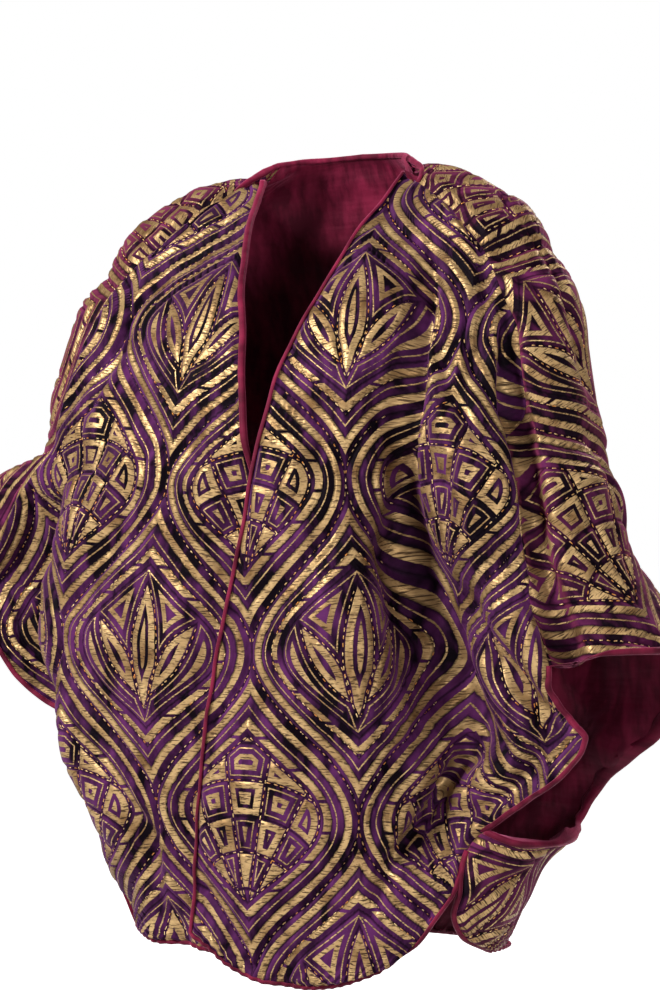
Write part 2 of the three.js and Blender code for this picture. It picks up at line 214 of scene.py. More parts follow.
def fold_depth(folds, turn, z):
    """The sum over the folds of depth times fading times exp(-(distance / width)^2)."""
    wrapped = np.mod(turn + 180, 360) - 180
    depth = np.zeros(np.broadcast(turn, z).shape)
    for z0, z1, (a, b, c, d), near, far, deep, fade_in, fade_out in folds:
        t = (z - z0) / (z1 - z0)
        line = -5.5 * a + 9 * b - 4.5 * c + d
        square, cube = 9 * a - 22.5 * b + 18 * c - 4.5 * d, 4.5 * (3 * b - 3 * c + d - a)
        path = a + line * t + square * t**2 + cube * t**3
        slope = line + 2 * square * t + 3 * cube * t**2
        slant = np.hypot(1, np.radians(slope) * FOLD_RADIUS / (z1 - z0))
        aside = np.sign(a) * np.radians(wrapped - path) * FOLD_RADIUS / slant
        width = np.where(aside < 0, near, far)
        strength = (smooth(0, max(fade_in, SHORTEST_FADE), t)
                    * smooth(0, max(fade_out, SHORTEST_FADE), 1 - t) * ((t > 0) & (t < 1)))
        depth = depth + deep * strength * np.exp(-((aside / width) ** 2))
    return depth


def folded_form(turn, z):
    """The smooth form, pushed in along its normal by the depth of the folds."""
    depth = fold_depth(FOLDS, turn, z)
    return smooth_form(turn, z) - normal_of(smooth_form, turn, z) * depth[..., None]


# %% [markdown]
# ## The cut
# A maker cuts three shapes: a back, and two fronts. Each is written as rows from neck to
# hem. A row says where the piece starts and where it ends on the form. The last rows hang
# free of the seam, as a side vent.

# %% Tables of the cut
# v, x and z of the free front edge, and the turn and z of the edge towards the back
LEFT_FRONT = np.array([
    [0.0, 82, -13, 40.5, -26], [0.04, 79, -27, 43, -45], [0.09, 74, -49, 45.5, -72],
    [0.15, 60, -92, 51, -107], [0.21, 46, -138, 55, -145], [0.28, 31, -184, 60, -190],
    [0.36, 19, -232, 60, -245], [0.44, 6, -300, 56, -300], [0.5, -2, -345, 54.4, -351],
    [0.56, -10, -395, 53, -405], [0.62, -22, -450, 49.5, -455],
    [0.67, -32, -500, 48.2, -507], [0.7, -38, -530, 47, -530],
    [0.735, -44, -562, 49.5, -558], [0.76, -47, -585, 54, -576],
    [0.8, -52, -622, 54.3, -606], [0.835, -57, -655, 54.8, -634],
    [0.865, -61, -685, 56.3, -662], [0.89, -65, -708, 58.5, -690],
    [0.905, -68, -724, 58, -706], [0.93, -70, -742, 55.5, -728],
    [0.955, -73, -760, 52.5, -756], [0.98, -76, -775, 48.5, -784],
    [1.0, -78, -786, 42, -804],
])
RIGHT_FRONT = np.array([
    [0.0, 82, -13, 40.5, -26], [0.04, 79, -27, 43, -45], [0.09, 74, -49, 45.5, -72],
    [0.15, 60, -92, 51, -107], [0.21, 46, -138, 55, -145], [0.28, 31, -184, 59, -188],
    [0.36, 19, -232, 60, -235], [0.44, 6, -300, 59, -282], [0.5, 0, -345, 58, -322],
    [0.56, -8, -395, 57.5, -362], [0.62, -14, -450, 57, -400],
    [0.67, -20, -500, 57, -430], [0.71, -25, -540, 55.5, -470],
    [0.75, -30, -578, 55.5, -515], [0.79, -36, -615, 57.5, -560],
    [0.82, -40, -640, 60.5, -602], [0.85, -44, -665, 65.5, -638],
    [0.88, -47, -690, 72.5, -672], [0.905, -50, -712, 80, -694],
    [0.93, -53, -736, 80, -708], [0.945, -55, -752, 79, -724],
    [0.965, -58, -772, 77, -748], [0.983, -60, -793, 73, -772],
    [1.0, -63, -812, 66, -794],
])
BACK_CENTRE_Z = np.array([
    16, -8, -36, -74, -114, -155, -198, -244, -286, -322, -355, -385, -430, -485, -542,
    -600, -650, -690, -716, -732, -750, -770, -790, -812,
])
CUFF_TOP, CUFF_FOOT, VENT_TOP = 11, 18, 19  # stations where seam, rim and vent change
LEFT_BACK_RIM = [(64, -495), (96, -494), (117, -560), (123, -630), (113, -678), (86, -686)]
RIGHT_BACK_RIM = [(74, -432), (100, -440), (115, -500), (121, -590), (121, -655), (104, -684)]
LEFT_BACK_VENT = [(57, -726), (57.5, -750), (65, -778), (82, -797)]
RIGHT_BACK_VENT = [(80, -726), (81, -750), (86, -776), (98, -797)]
NECKLINE = np.array([(40.5, -26), (50, -14), (60, -6), (75, 2), (90, 6), (120, 12), (180, 16)])
NECK_REACH, HEM_REACH, ROW_BEND = 0.12, 0.35, 1.15
LEFT_HEM_DIP, RIGHT_HEM_DIP = 34, 4
STATIONS = len(BACK_CENTRE_Z)
station_number = np.arange(STATIONS)


# %% Where each piece lies on the form
def front_places(table, side, hem_dip, row, u):
    """Turn and z of a front at the rows and the shares u of its width. z is a straight
    blend of both edges, and the hem rows hang lower in the middle by a sine."""
    column = [through(station_number, table[:, k], row)[:, None] for k in range(5)]
    v, edge_x, edge_z, last_turn, last_z = column
    half = np.where(side * edge_x > 0, level(LEFT, edge_z), level(RIGHT, edge_z))
    first_turn = np.degrees(np.arcsin(side * edge_x / half))
    hemward = np.maximum(0, (v - 1 + HEM_REACH) / HEM_REACH) ** 1.5
    dip = hem_dip * hemward * np.maximum(np.sin(pi * u), 0) ** 0.8
    turn = first_turn + (side * last_turn - first_turn) * u
    return turn, edge_z + (last_z - edge_z) * u - dip


def back_edge(front, rim, vent, row):
    """Turn and z of one side of the back: the front's seam, then the back's own half of
    the cuff's rim, the short seam under the arm, and its own side of the vent."""
    edge = front[:, 3:5].copy()
    edge[CUFF_TOP + 1:CUFF_FOOT] = rim
    edge[VENT_TOP + 1:] = vent
    shared = front[:, 3:5]
    own = [through(station_number, edge[:, k], row) for k in range(2)]
    seam = [through(station_number, shared[:, k], row) for k in range(2)]
    apart = ((row > CUFF_TOP) & (row < CUFF_FOOT)) | (row > VENT_TOP)
    return [np.where(apart, o, s)[:, None] for o, s in zip(own, seam)]


def back_places(row, u):
    """Turn and z of the back. z blends from the middle to each side by a power of the
    distance, and the first rows follow the neckline."""
    left_turn, left_z = back_edge(LEFT_FRONT, LEFT_BACK_RIM, LEFT_BACK_VENT, row)
    right_turn, right_z = back_edge(RIGHT_FRONT, RIGHT_BACK_RIM, RIGHT_BACK_VENT, row)
    turn = left_turn + (360 - right_turn - left_turn) * u
    share = np.abs(2 * u - 1) ** ROW_BEND
    centre_z = through(station_number, BACK_CENTRE_Z, row)[:, None]
    height = centre_z + (np.where(u < 0.5, left_z, right_z) - centre_z) * share
    top_turn = LEFT_FRONT[0, 3] + (360 - RIGHT_FRONT[0, 3] - LEFT_FRONT[0, 3]) * u
    top = BACK_CENTRE_Z[0] + (LEFT_FRONT[0, 4] - BACK_CENTRE_Z[0]) * share
    neck = through(NECKLINE[:, 0], NECKLINE[:, 1], np.minimum(top_turn, 360 - top_turn))
    neckward = np.maximum(0, 1 - row / (STATIONS - 1) / NECK_REACH)[:, None]
    return turn, height + (neck - top) * neckward


# %% [markdown]
# ## From the cut to points in space
# All three velvet pieces and their linings share the same rows down the jacket, so both
# sides of a seam have their points at the same heights. Each layer of cloth is the form
# moved along its normal. Small creases and a slow unevenness move every layer alike, so
# the layers never cut through each other.

# %% Small creases
# rows as in FOLDS, for the surface of the cloth alone
CREASES = [
    (-75, -590, (34.5, 30, 24.5, 22), 12, 15, 20, 0.15, 0.3),
    (-120, -600, (54, 58, 55, 50), 12, 13, 13, 0.25, 0.25),
    (-420, -700, (30, 29, 33, 44), 12, 16, 11, 0.4, 0.3),
    (-470, -620, (35, 41, 47, 53), 10, 13, 9, 0.4, 0.4),
    (-540, -710, (39, 45, 51, 58), 10, 13, 9, 0.4, 0.4),
    (-390, -540, (44, 49, 51, 50), 10, 13, 8, 0.4, 0.4),
    (-150, -330, (36, 39, 43, 49), 10, 13, 8, 0.4, 0.4),
    (-300, -520, (-18, -21, -24, -24), 10, 13, 5, 0.5, 0.5),
    (-200, -420, (18, 14, 13, 15), 10, 13, 4, 0.5, 0.5),
    (-60, -300, (46, 50, 47, 40), 9, 12, 5, 0.4, 0.4),
    (-190, -420, (38, 34, 37, 43), 8, 12, 4, 0.4, 0.5),
    (-360, -560, (26, 33, 40, 46), 9, 13, 6, 0.4, 0.5),
    (-430, -640, (34, 38, 46, 52), 10, 12, 5, 0.4, 0.4),
    (-250, -470, (52, 47, 44, 47), 9, 9, 4, 0.5, 0.4),
    (-600, -790, (33, 36, 34, 31), 12, 14, 6, 0.4, 0.3),
    (-560, -760, (20, 24, 26, 24), 12, 12, 4, 0.4, 0.3),
    (-90, -330, (-34, -40, -44, -47), 10, 14, 5, 0.4, 0.5),
    (-230, -430, (-26, -23, -22, -24), 10, 12, 4, 0.5, 0.5),
    (-330, -560, (-50, -54, -58, -60), 10, 14, 5, 0.4, 0.5),
    (-420, -640, (-34, -38, -44, -52), 10, 12, 5, 0.4, 0.4),
    (-620, -800, (-28, -30, -34, -36), 12, 14, 5, 0.4, 0.3),
    (-480, -620, (-62, -68, -74, -78), 9, 12, 5, 0.4, 0.4),
    (-60, -300, (70, 82, 88, 92), 12, 14, 5, 0.4, 0.5),
    (-260, -480, (84, 90, 96, 104), 12, 14, 6, 0.4, 0.5),
    (-420, -640, (98, 108, 116, 124), 12, 14, 6, 0.4, 0.5),
    (-60, -290, (-74, -84, -90, -96), 12, 14, 5, 0.4, 0.5),
    (-250, -470, (-88, -96, -102, -110), 12, 14, 6, 0.4, 0.5),
    (-400, -630, (-100, -108, -118, -128), 12, 14, 6, 0.4, 0.5),
    (-40, -260, (160, 166, 163, 158), 14, 16, 4, 0.4, 0.5),
    (-300, -560, (-168, -172, -175, -178), 14, 16, 5, 0.4, 0.5),
    (-560, -790, (150, 148, 152, 150), 14, 16, 5, 0.4, 0.3),
    (-540, -790, (-150, -152, -156, -160), 14, 16, 5, 0.4, 0.3),
    (-380, -640, (168, 165, 160, 164), 12, 16, 4, 0.4, 0.5),
]
print(len(FOLDS), "folds and", len(CREASES), "creases")


def unevenness(points):
    """A slow random-looking swell of about 2 mm: a sum of sines over the place."""
    x, y, z = points[..., 0], points[..., 1], points[..., 2]
    return (1.5 * np.sin(x / 23 + 1.3 * np.sin(z / 41)) * np.sin(z / 31 + y / 37)
            + 0.9 * np.sin((x + z) / 13 + 2) * np.sin((x - 0.6 * z + y) / 16))


# %% Rows and columns of the cloth
CREASE_DEEP, LAP_DEEP = 1.5, 6.5
GATHER_LONG, GATHER_REACH, GATHER_HIGH = 23.0, 24.0, 0.9  # along an edge, into the cloth, up
HEM_ROW_LONG = 20.0  # mm between two stations beside the hem
CLOTH_WIDE = {"front_left": 480.0, "front_right": 480.0, "back": 1100.0}  # mm, for the gathers
RIM_FADE = 0.6  # stations over which the gathers of a cuff start and end
FINE_STEP = 3.7  # length of a cell of the velvet, in mm
COLUMNS = {"front_left": 150, "front_right": 150, "back": 280}
LAP_FROM, LAP_FULL = 290, 338  # mm below the shoulders where the lap begins and is whole
LAP_NONE, LAP_WHOLE = 60, 10  # mm past the left front's edge where it ends and is whole


def lap_share(points, z):
    """1 where the right front lies under the left front, below the V and inside the left
    front's edge, fading out past it."""
    edge = -np.abs(through(LEFT_FRONT[:, 2], LEFT_FRONT[:, 1], z))
    inside = smooth(edge - LAP_NONE, edge - LAP_WHOLE, points[..., 0])
    return smooth(LAP_FROM, LAP_FULL, -z) * inside


def rows_of(cell_long):
    """Row numbers with fractions, an even count in each gap between two stations, so that
    the cells are about so long. The gap's length is measured on the form."""
    seams = [(LEFT_FRONT[:, 3], LEFT_FRONT[:, 4]), (-RIGHT_FRONT[:, 3], RIGHT_FRONT[:, 4]),
             (np.full(STATIONS, 180.0), BACK_CENTRE_Z)]
    gaps = [np.linalg.norm(np.diff(smooth_form(*seam), axis=0), axis=1) for seam in seams]
    counts = 2 * np.maximum(1, np.round(np.mean(gaps, axis=0) / cell_long / 2)).astype(int)
    parts = [i + np.arange(n) / n for i, n in enumerate(counts)]
    return np.concatenate(parts + [np.array([STATIONS - 1.0])]), counts


PIECES = {
    "front_left": lambda row, u: front_places(LEFT_FRONT, 1, LEFT_HEM_DIP, row, u),
    "front_right": lambda row, u: front_places(RIGHT_FRONT, -1, RIGHT_HEM_DIP, row, u),
    "back": back_places,
}


class Cloth:
    """The points and normals of one piece on a grid of rows and columns."""

    def __init__(self, piece):
        self.piece = piece
        self.flip = piece == "front_right"  # its columns run to the wearer's right
        self.row, self.counts = rows_of(FINE_STEP)
        self.u = np.linspace(0, 1, COLUMNS[piece] + 1)
        self.turn, self.z = np.broadcast_arrays(*PIECES[piece](self.row, self.u))
        bare = folded_form(self.turn, self.z)
        self.normal = normal_of(folded_form, self.turn, self.z)
        creases = CREASE_DEEP * fold_depth(CREASES, self.turn, self.z)
        self.lap = lap_share(bare, self.z) if piece == "front_right" else 0.0
        inward = creases - unevenness(bare) - self.gathers() + LAP_DEEP * self.lap
        self.points = bare - self.normal * inward[..., None]

    def gathers(self):
        """Small gathers along the hem and the cuffs: a sine along the edge that wanders,
        times a bell of the distance from the edge."""
        rows, columns = np.meshgrid(self.row, self.u, indexing="ij")
        wide = CLOTH_WIDE[self.piece]
        to_end, to_start = (1 - columns) * wide, columns * wide
        to_cuff = np.minimum(to_end, to_start) if self.piece == "back" else to_end
        to_hem = (STATIONS - 1 - rows) * HEM_ROW_LONG
        on_rim = (smooth(CUFF_TOP - RIM_FADE, CUFF_TOP + RIM_FADE, rows)
                  * smooth(CUFF_FOOT + RIM_FADE, CUFF_FOOT - RIM_FADE, rows))
        wander = 2.2 * np.sin(to_start / 61) + 1.7 * np.sin(-self.z / 47 + 1)
        waves = [np.sin(2 * pi * along / GATHER_LONG + wander) for along in (to_start, -self.z)]
        bells = [np.exp(-((distance / GATHER_REACH) ** 2)) for distance in (to_hem, to_cuff)]
        return GATHER_HIGH * (bells[0] * waves[0] + on_rim * bells[1] * waves[1])

    def layer(self, offset):
        """The grid moved along its normal by offset, which may differ over the grid."""
        return self.points + self.normal * np.asarray(offset, float)[..., None]

    def under(self, depth):
        """Every second point of the grid, moved inwards by a depth and by its sinking."""
        return self.points[::2, ::2] - self.normal[::2, ::2] * (depth + self.sink)[..., None]

    def row_at(self, station):
        """The number of the row that lies on a station."""
        return int(np.sum(self.counts[:station]))


velvet = {name: Cloth(name) for name in PIECES}
for name, cloth in velvet.items():
    print(name, "grid", cloth.points.shape[:2])

# %% [markdown]
# ## The flat cut
# The stencil was printed and the quilting sewn while the cloth lay flat, so both need a
# place on the flat piece. It is found with springs: every pair of neighbouring points,
# straight and diagonal, is joined by a spring of its true length, and the net is let go
# on a table until the springs are at rest. It starts with level rows and without its
# folds, which are let in step by step, because a net that starts crumpled stays so. Each
# round solves all the points at once for the spring directions of the round before. This
# also gives the flat size.

# %% Flatten a piece with springs
def first_layout(points, share_before):
    """A grid laid out by its lengths alone: rows are level, at the mean length down the
    columns. The share of each row that lies before x = 0 is given."""
    across = np.linalg.norm(np.diff(points, axis=1), axis=2)
    across = np.concatenate([np.zeros((len(points), 1)), np.cumsum(across, axis=1)], axis=1)
    down = np.linalg.norm(np.diff(points, axis=0), axis=2).mean(1)
    down = np.concatenate([[0], np.cumsum(down)])[:, None] + 0 * across
    return np.stack([across - share_before * across[:, -1:], -down], axis=-1)


def flatten(points, flat, rounds):
    """Flat places (mm) of a grid of points, as springs of their true lengths leave it
    when they start from the places given. Each place is the solution of a linear net in
    which every spring pulls by its length along its last direction."""
    rows, columns = points.shape[:2]
    number = np.arange(rows * columns).reshape(rows, columns)
    pairs = np.concatenate([
        np.stack([number[:, :-1].ravel(), number[:, 1:].ravel()], 1),
        np.stack([number[:-1].ravel(), number[1:].ravel()], 1),
        np.stack([number[:-1, :-1].ravel(), number[1:, 1:].ravel()], 1),
        np.stack([number[:-1, 1:].ravel(), number[1:, :-1].ravel()], 1),
    ])
    place = points.reshape(-1, 3)
    rest = np.linalg.norm(place[pairs[:, 0]] - place[pairs[:, 1]], axis=1) + 1e-6
    stiff = 1 / rest
    net = np.zeros((len(place), len(place)))
    np.add.at(net, (pairs[:, 0], pairs[:, 0]), stiff)
    np.add.at(net, (pairs[:, 1], pairs[:, 1]), stiff)
    np.add.at(net, (pairs[:, 0], pairs[:, 1]), -stiff)
    np.add.at(net, (pairs[:, 1], pairs[:, 0]), -stiff)
    net[0, 0] += 1  # holds the first point, because springs alone would let the net drift
    solve = np.linalg.inv(net)
    flat = flat.reshape(-1, 2)
    for _ in range(rounds):
        apart = flat[pairs[:, 0]] - flat[pairs[:, 1]]
        length = np.maximum(np.linalg.norm(apart, axis=1, keepdims=True), 1e-6)
        pull = apart / length * (rest * stiff)[:, None]
        force = np.zeros_like(flat)
        np.add.at(force, pairs[:, 0], pull)
        np.add.at(force, pairs[:, 1], -pull)
        force[0] += flat[0]
        flat = solve @ force
    strain = np.linalg.norm(flat[pairs[:, 0]] - flat[pairs[:, 1]], axis=1) / rest - 1
    print("  springs off by", round(float(np.abs(strain).mean()) * 100, 1), "percent on average")
    return flat.reshape(rows, columns, 2)


def spread(coarse, rows_at, columns_at):
    """Values of a coarse grid at fractional rows and columns, by a Catmull-Rom cubic
    along one way and then along the other."""
    def along(values, at):
        count = len(values)
        i = np.clip(np.floor(at).astype(int), 0, count - 2)
        t = (at - i).reshape((-1,) + (1,) * (values.ndim - 1))
        before, here = values[np.maximum(i - 1, 0)], values[i]
        after, beyond = values[i + 1], values[np.minimum(i + 2, count - 1)]
        return here + 0.5 * t * (after - before + t * (
            2 * before - 5 * here + 4 * after - beyond + t * (
                3 * (here - after) + beyond - before)))
    downward = along(coarse, rows_at)
    return np.moveaxis(along(np.moveaxis(downward, 1, 0), columns_at), 0, 1)


def align(flat, aim, chosen):
    """Turns and moves the flat piece so that the chosen points come closest to the aim."""
    source, target = flat[chosen], aim[chosen]
    source_middle, target_middle = source.mean(0), target.mean(0)
    u, _, v = np.linalg.svd((source - source_middle).T @ (target - target_middle))
    return (flat - source_middle) @ (u @ v) + target_middle


# %% The three flat pieces
NET_ROWS = 2 * (STATIONS - 1) + 1
NET_COLUMNS = {"front_left": 20, "front_right": 20, "back": 36}
FOLD_SHARES = (0.0, 0.5, 1.0, 1.0)  # the folds are let in step by step
SPRING_ROUNDS = 45  # for each of those steps
# where a flat piece is lined up with the worn one: degrees from the centre back, or mm
# from the centre front and under the shoulders
MIDDLE_BACK, MIDDLE_FRONT, BELOW = 12, 70, -330
flat_size = {}
for name, cloth in velvet.items():
    net_row = np.linspace(0, STATIONS - 1, NET_ROWS)
    net_u = np.linspace(0, 1, NET_COLUMNS[name] + 1)
    net_turn, net_z = np.broadcast_arrays(*PIECES[name](net_row, net_u))
    plain, folded = smooth_form(net_turn, net_z), folded_form(net_turn, net_z)
    flat = first_layout(plain, 0.5 if name == "back" else 0.0)
    for share in FOLD_SHARES:
        flat = flatten(plain + (folded - plain) * share, flat, SPRING_ROUNDS)
    if name != "front_left":
        flat[..., 0] *= -1
    if name == "back":
        middle = np.abs(net_turn - 180) < MIDDLE_BACK
    else:
        middle = (np.abs(folded[..., 0]) < MIDDLE_FRONT) & (net_z < BELOW)
    flat = align(flat, folded[..., [0, 2]], middle)
    cloth.flat = spread(flat, cloth.row / (STATIONS - 1) * (NET_ROWS - 1),
                        cloth.u * NET_COLUMNS[name])
    low, high = flat.reshape(-1, 2).min(0), flat.reshape(-1, 2).max(0)
    a, b = flat[1:, 1:] - flat[:-1, :-1], flat[1:, :-1] - flat[:-1, 1:]
    area = float(np.abs(a[..., 0] * b[..., 1] - a[..., 1] * b[..., 0]).sum() / 2)
    flat_size[name] = [(high - low) / 1000, area / 1e6]
    print(name, "flat", np.round((high - low) / 1000, 3), "m, area", round(area / 1e6, 3), "m2")

# %% [markdown]
# ## One formula for print, padding and stitches
# The stencilled bands, the quilting and the stitches all follow one design, so one
# formula has to serve twice: numpy works it out for the shape of the cloth, and a node
# group works it out for the colour. Each step below looks at what it is given. Arrays go
# to numpy. A wire of a node tree gets one more Math node.

# %% Arithmetic for arrays and for nodes
ARRAY_STEP = {
    "ADD": np.add, "SUBTRACT": np.subtract, "MULTIPLY": np.multiply, "DIVIDE": np.divide,
    "MINIMUM": np.minimum, "MAXIMUM": np.maximum, "ABSOLUTE": np.abs, "SQRT": np.sqrt,
    "SINE": np.sin, "COSINE": np.cos, "ARCTAN2": np.arctan2, "FLOOR": np.floor,
    "GREATER_THAN": lambda a, b: (a > b) * 1.0,
    "PINGPONG": lambda a, b: b - np.abs(np.mod(a, 2 * b) - b),
}


class Wire:
    """An output of a node tree that can be reckoned with like a number."""

    def __init__(self, tree, socket):
        self.tree, self.socket = tree, socket

    def __add__(self, other):
        return step("ADD", self, other)

    def __radd__(self, other):
        return step("ADD", other, self)

    def __sub__(self, other):
        return step("SUBTRACT", self, other)

    def __rsub__(self, other):
        return step("SUBTRACT", other, self)

    def __mul__(self, other):
        return step("MULTIPLY", self, other)

    def __rmul__(self, other):
        return step("MULTIPLY", other, self)

    def __truediv__(self, other):
        return step("DIVIDE", self, other)


def step(operation, *values):
    """One step of arithmetic: an array's with numpy, a wire's with a Math node."""
    wire = next((v for v in values if isinstance(v, Wire)), None)
    if wire is None:
        return ARRAY_STEP[operation](*values)
    node = wire.tree.nodes.new("ShaderNodeMath")
    node.operation = operation
    for socket, value in zip(node.inputs, values):
        if isinstance(value, Wire):
            wire.tree.links.new(value.socket, socket)
        else:
            socket.default_value = value
    return Wire(wire.tree, node.outputs[0])


def least(*values):
    """The smallest of several values, two at a time."""
    result = values[0]
    for value in values[1:]:
        result = step("MINIMUM", result, value)
    return result


def size_of(value):
    """The value without its sign."""
    return step("ABSOLUTE", value)


def choose(first, second, share):
    """second where the share is 0, first where it is 1."""
    return second + (first - second) * share


def repeat(value, period):
    """The value less the nearest whole number of periods."""
    return value - period * step("FLOOR", value / period + 0.5)


# %% [markdown]
# ## The design
# Its ground is an ogee lattice, one of the oldest cloth patterns: two waves in step make
# a net of pointed ovals, each row set half way between the last. Inside every oval lie
# nested bands that keep the same distance from its edge. Every other oval holds a fan
# of wedges, and the rest hold a spray of leaves. Each closed cell is drawn by its
# distance from its own outline, so the bands keep an even width round every corner.

# %% The ogee lattice with fans and leaves
OVAL_WIDE, OVAL_HIGH = 232.0, 332.0  # one oval, in mm
BAND_EDGES = (6.0, 13.6, 26.5, 33.5, 39.0)  # outer gold from and to, inner gold, the core
FAN_FOOT, FAN_PITCH, FAN_RINGS = 92.0, radians(18.0), 36.0
FIRST_RING = 0.35  # of a ring's width, by which the rings start inside the fan's foot
LEAF_HALF, LEAF_REACH = 15.0, 66.0
SIDE_LEAF = (11.0, 46.0, 31.0, 12.0, radians(33.0))  # half width, reach, place and turn
FINE_LINE = 0.6  # half the width of a fine line of gold
# gold in a full cell: a band from and to, and a heart
FULL_FROM, FULL_TO, FULL_HEART = 1.9, 8.2, 12.0
# gold in an outlined cell: a fine line, and a band from and to
OUTLINE_AT, OUTLINED_FROM, OUTLINED_TO = 4.8, 10.5, 15.5
CORE_RIM = 1.2  # velvet between the core's edge and the gold in it
BREAK_SHIFT, BREAK_LONG, BREAK_HALF = 9.0, 15.0, 1.6  # gaps across the inner band


def oval_edge(y):
    """Half the width of an oval at the height y from its middle, and the factor that
    turns a level distance from its edge into a square one."""
    wave = 2 * pi / OVAL_HIGH
    slope = OVAL_WIDE / 4 * wave * step("SINE", y * wave)
    half = OVAL_WIDE / 4 + OVAL_WIDE / 4 * step("COSINE", y * wave)
    return half, step("SQRT", slope * slope + 1.0)


def leaf_edge(x, y, half, reach):
    """Distance inside the outline of a leaf: half width falls with the square of y."""
    share = y / reach
    width = half - half * step("MINIMUM", share * share, 4.0)
    lean = y * (2 * half / reach**2)
    return (width - size_of(x)) / step("SQRT", lean * lean + 1.0)


def fan_cells(x, y):
    """Distance (mm) to the nearest outline of the fan, and 1 in every other cell. Its
    wedges have equal angles and are cut by rings at equal distances."""
    up = y + FAN_FOOT
    reach = step("SQRT", x * x + up * up)
    angle = step("ARCTAN2", size_of(x), up) + FAN_PITCH / 2
    ring = reach + FAN_RINGS * FIRST_RING
    cell = least(step("PINGPONG", angle, FAN_PITCH / 2) * reach,
                 step("PINGPONG", ring, FAN_RINGS / 2))
    count = step("FLOOR", angle / FAN_PITCH) + step("FLOOR", ring / FAN_RINGS)
    return cell, step("PINGPONG", count, 1.0)


def spray_cells(x, y):
    """Distance (mm) to the nearest outline of the leaves, and 1 inside a leaf. One leaf
    stands upright and one leans out on each side."""
    half, length, aside, low, tilt = SIDE_LEAF
    out, over = size_of(x) - aside, y + low
    along, across = out * sin(tilt) + over * cos(tilt), out * cos(tilt) - over * sin(tilt)
    middle = leaf_edge(x, y, LEAF_HALF, LEAF_REACH)
    leaning = leaf_edge(across, along, half, length)
    inside = step("GREATER_THAN", step("MAXIMUM", middle, leaning), 0.0)
    return least(size_of(middle), size_of(leaning)), inside


def design(u, v):
    """From a place on the flat cloth (mm): the distance inside the gold (negative in the
    velvet), and the distance from the nearest line of quilting. A band is the lesser of
    the distances from its two edges, and several bands join by their greatest."""
    y_first, y_second = repeat(v, OVAL_HIGH), repeat(v + OVAL_HIGH / 2, OVAL_HIGH)
    x_first, x_second = repeat(u, OVAL_WIDE), repeat(u + OVAL_WIDE / 2, OVAL_WIDE)
    edge, square = oval_edge(y_first)
    inward = (edge - size_of(x_first)) / square
    fan = step("GREATER_THAN", inward, 0.0)
    x, y = choose(x_first, x_second, fan), choose(y_first, y_second, fan)
    depth = size_of(inward)
    band_start, band_end, inner_start, inner_end, core = BAND_EDGES
    cells = [choose(a, b, fan) for a, b in zip(fan_cells(x, y), spray_cells(x, y))]
    cell, filled = least(cells[0], depth - core), cells[1]
    solid = step("MAXIMUM", least(cell - FULL_FROM, FULL_TO - cell), cell - FULL_HEART)
    outlined = step("MAXIMUM", FINE_LINE - size_of(cell - OUTLINE_AT),
                    least(cell - OUTLINED_FROM, OUTLINED_TO - cell))
    motif = least(choose(solid, outlined, filled), depth - core - CORE_RIM)
    outer_gold = least(depth - band_start, band_end - depth)
    fine_line = FINE_LINE - size_of(depth - (band_end + inner_start) / 2)
    break_up = step("PINGPONG", y + BREAK_SHIFT, BREAK_LONG) - BREAK_HALF
    inner_gold = least(depth - inner_start, inner_end - depth, break_up)
    gold = step("MAXIMUM", step("MAXIMUM", outer_gold, fine_line),
                step("MAXIMUM", inner_gold, motif))
    in_core = step("GREATER_THAN", depth, core)
    bands = least(depth, size_of(depth - band_end), size_of(depth - inner_start),
                  size_of(depth - core))
    quilt = choose(step("MAXIMUM", cell, 0.0), bands, in_core)
    return gold, quilt


# %% [markdown]
# ## Padding
# Between two lines of stitches the padding pushes the velvet up, and each oval of the
# pattern swells as a whole. Both are heights over the cloth's own surface, worked out
# from the distance to a line. At its edges and seams the cloth is sewn flat, so that
# neighbours meet.

# %% Heights of the padding
PUFF_LOW, PUFF_HEIGHT, PUFF_WIDTH = -2.2, 4.7, 6.5
PILLOW_LOW, PILLOW_HIGH, PILLOW_WIDE = -9.5, 4.5, 30.0
SEWN_LEVEL, SEWN_WIDE = -1.2, 11.0  # the face beside an edge or a seam, and how far in


def near_edge(cloth):
    """1 at the edges and seams of a piece, falling to 0 at SEWN_WIDE from them, from the
    lengths along the rows and columns of its grid. A front's neck end is left out."""
    ends = []
    for axis in (0, 1):
        steps = np.linalg.norm(np.diff(cloth.points, axis=axis), axis=2)
        nothing = np.zeros_like(np.take(steps, [0], axis))
        run = np.concatenate([nothing, np.cumsum(steps, axis)], axis)
        ends += [run, np.take(run, [-1], axis) - run]
    if cloth.piece != "back":
        ends.pop(0)
    return 1 - smooth(0, SEWN_WIDE, np.minimum.reduce(ends))


def sink(cloth):
    """How far (mm) each second point of the hidden layers must lie deeper, so that the
    straight cells between them don't rise above the points that they skip: the largest
    rise at the point and its eight neighbours."""
    points, normal = cloth.points, cloth.normal
    straight = points.copy()
    straight[1::2] = (points[:-2:2] + points[2::2]) / 2
    straight[:, 1::2] = (straight[:, :-2:2] + straight[:, 2::2]) / 2
    rise = np.pad(np.maximum(((straight - points) * normal).sum(-1), 0), 1)
    rows, columns = points.shape[:2]
    return np.maximum.reduce([rise[i:i + rows:2, j:j + columns:2]
                              for i in range(3) for j in range(3)])


def puff(quilt, sewn):
    """Height of the padding: it rises from a stitched line as a quarter circle and is
    full at PUFF_WIDTH from it. Where sewn is 1 the face lies at SEWN_LEVEL."""
    near = np.clip(quilt / PUFF_WIDTH, 0.0, 1.0)
    free = PUFF_LOW + PUFF_HEIGHT * np.sqrt(1 - (1 - near) ** 2)
    return free + (SEWN_LEVEL - free) * sewn


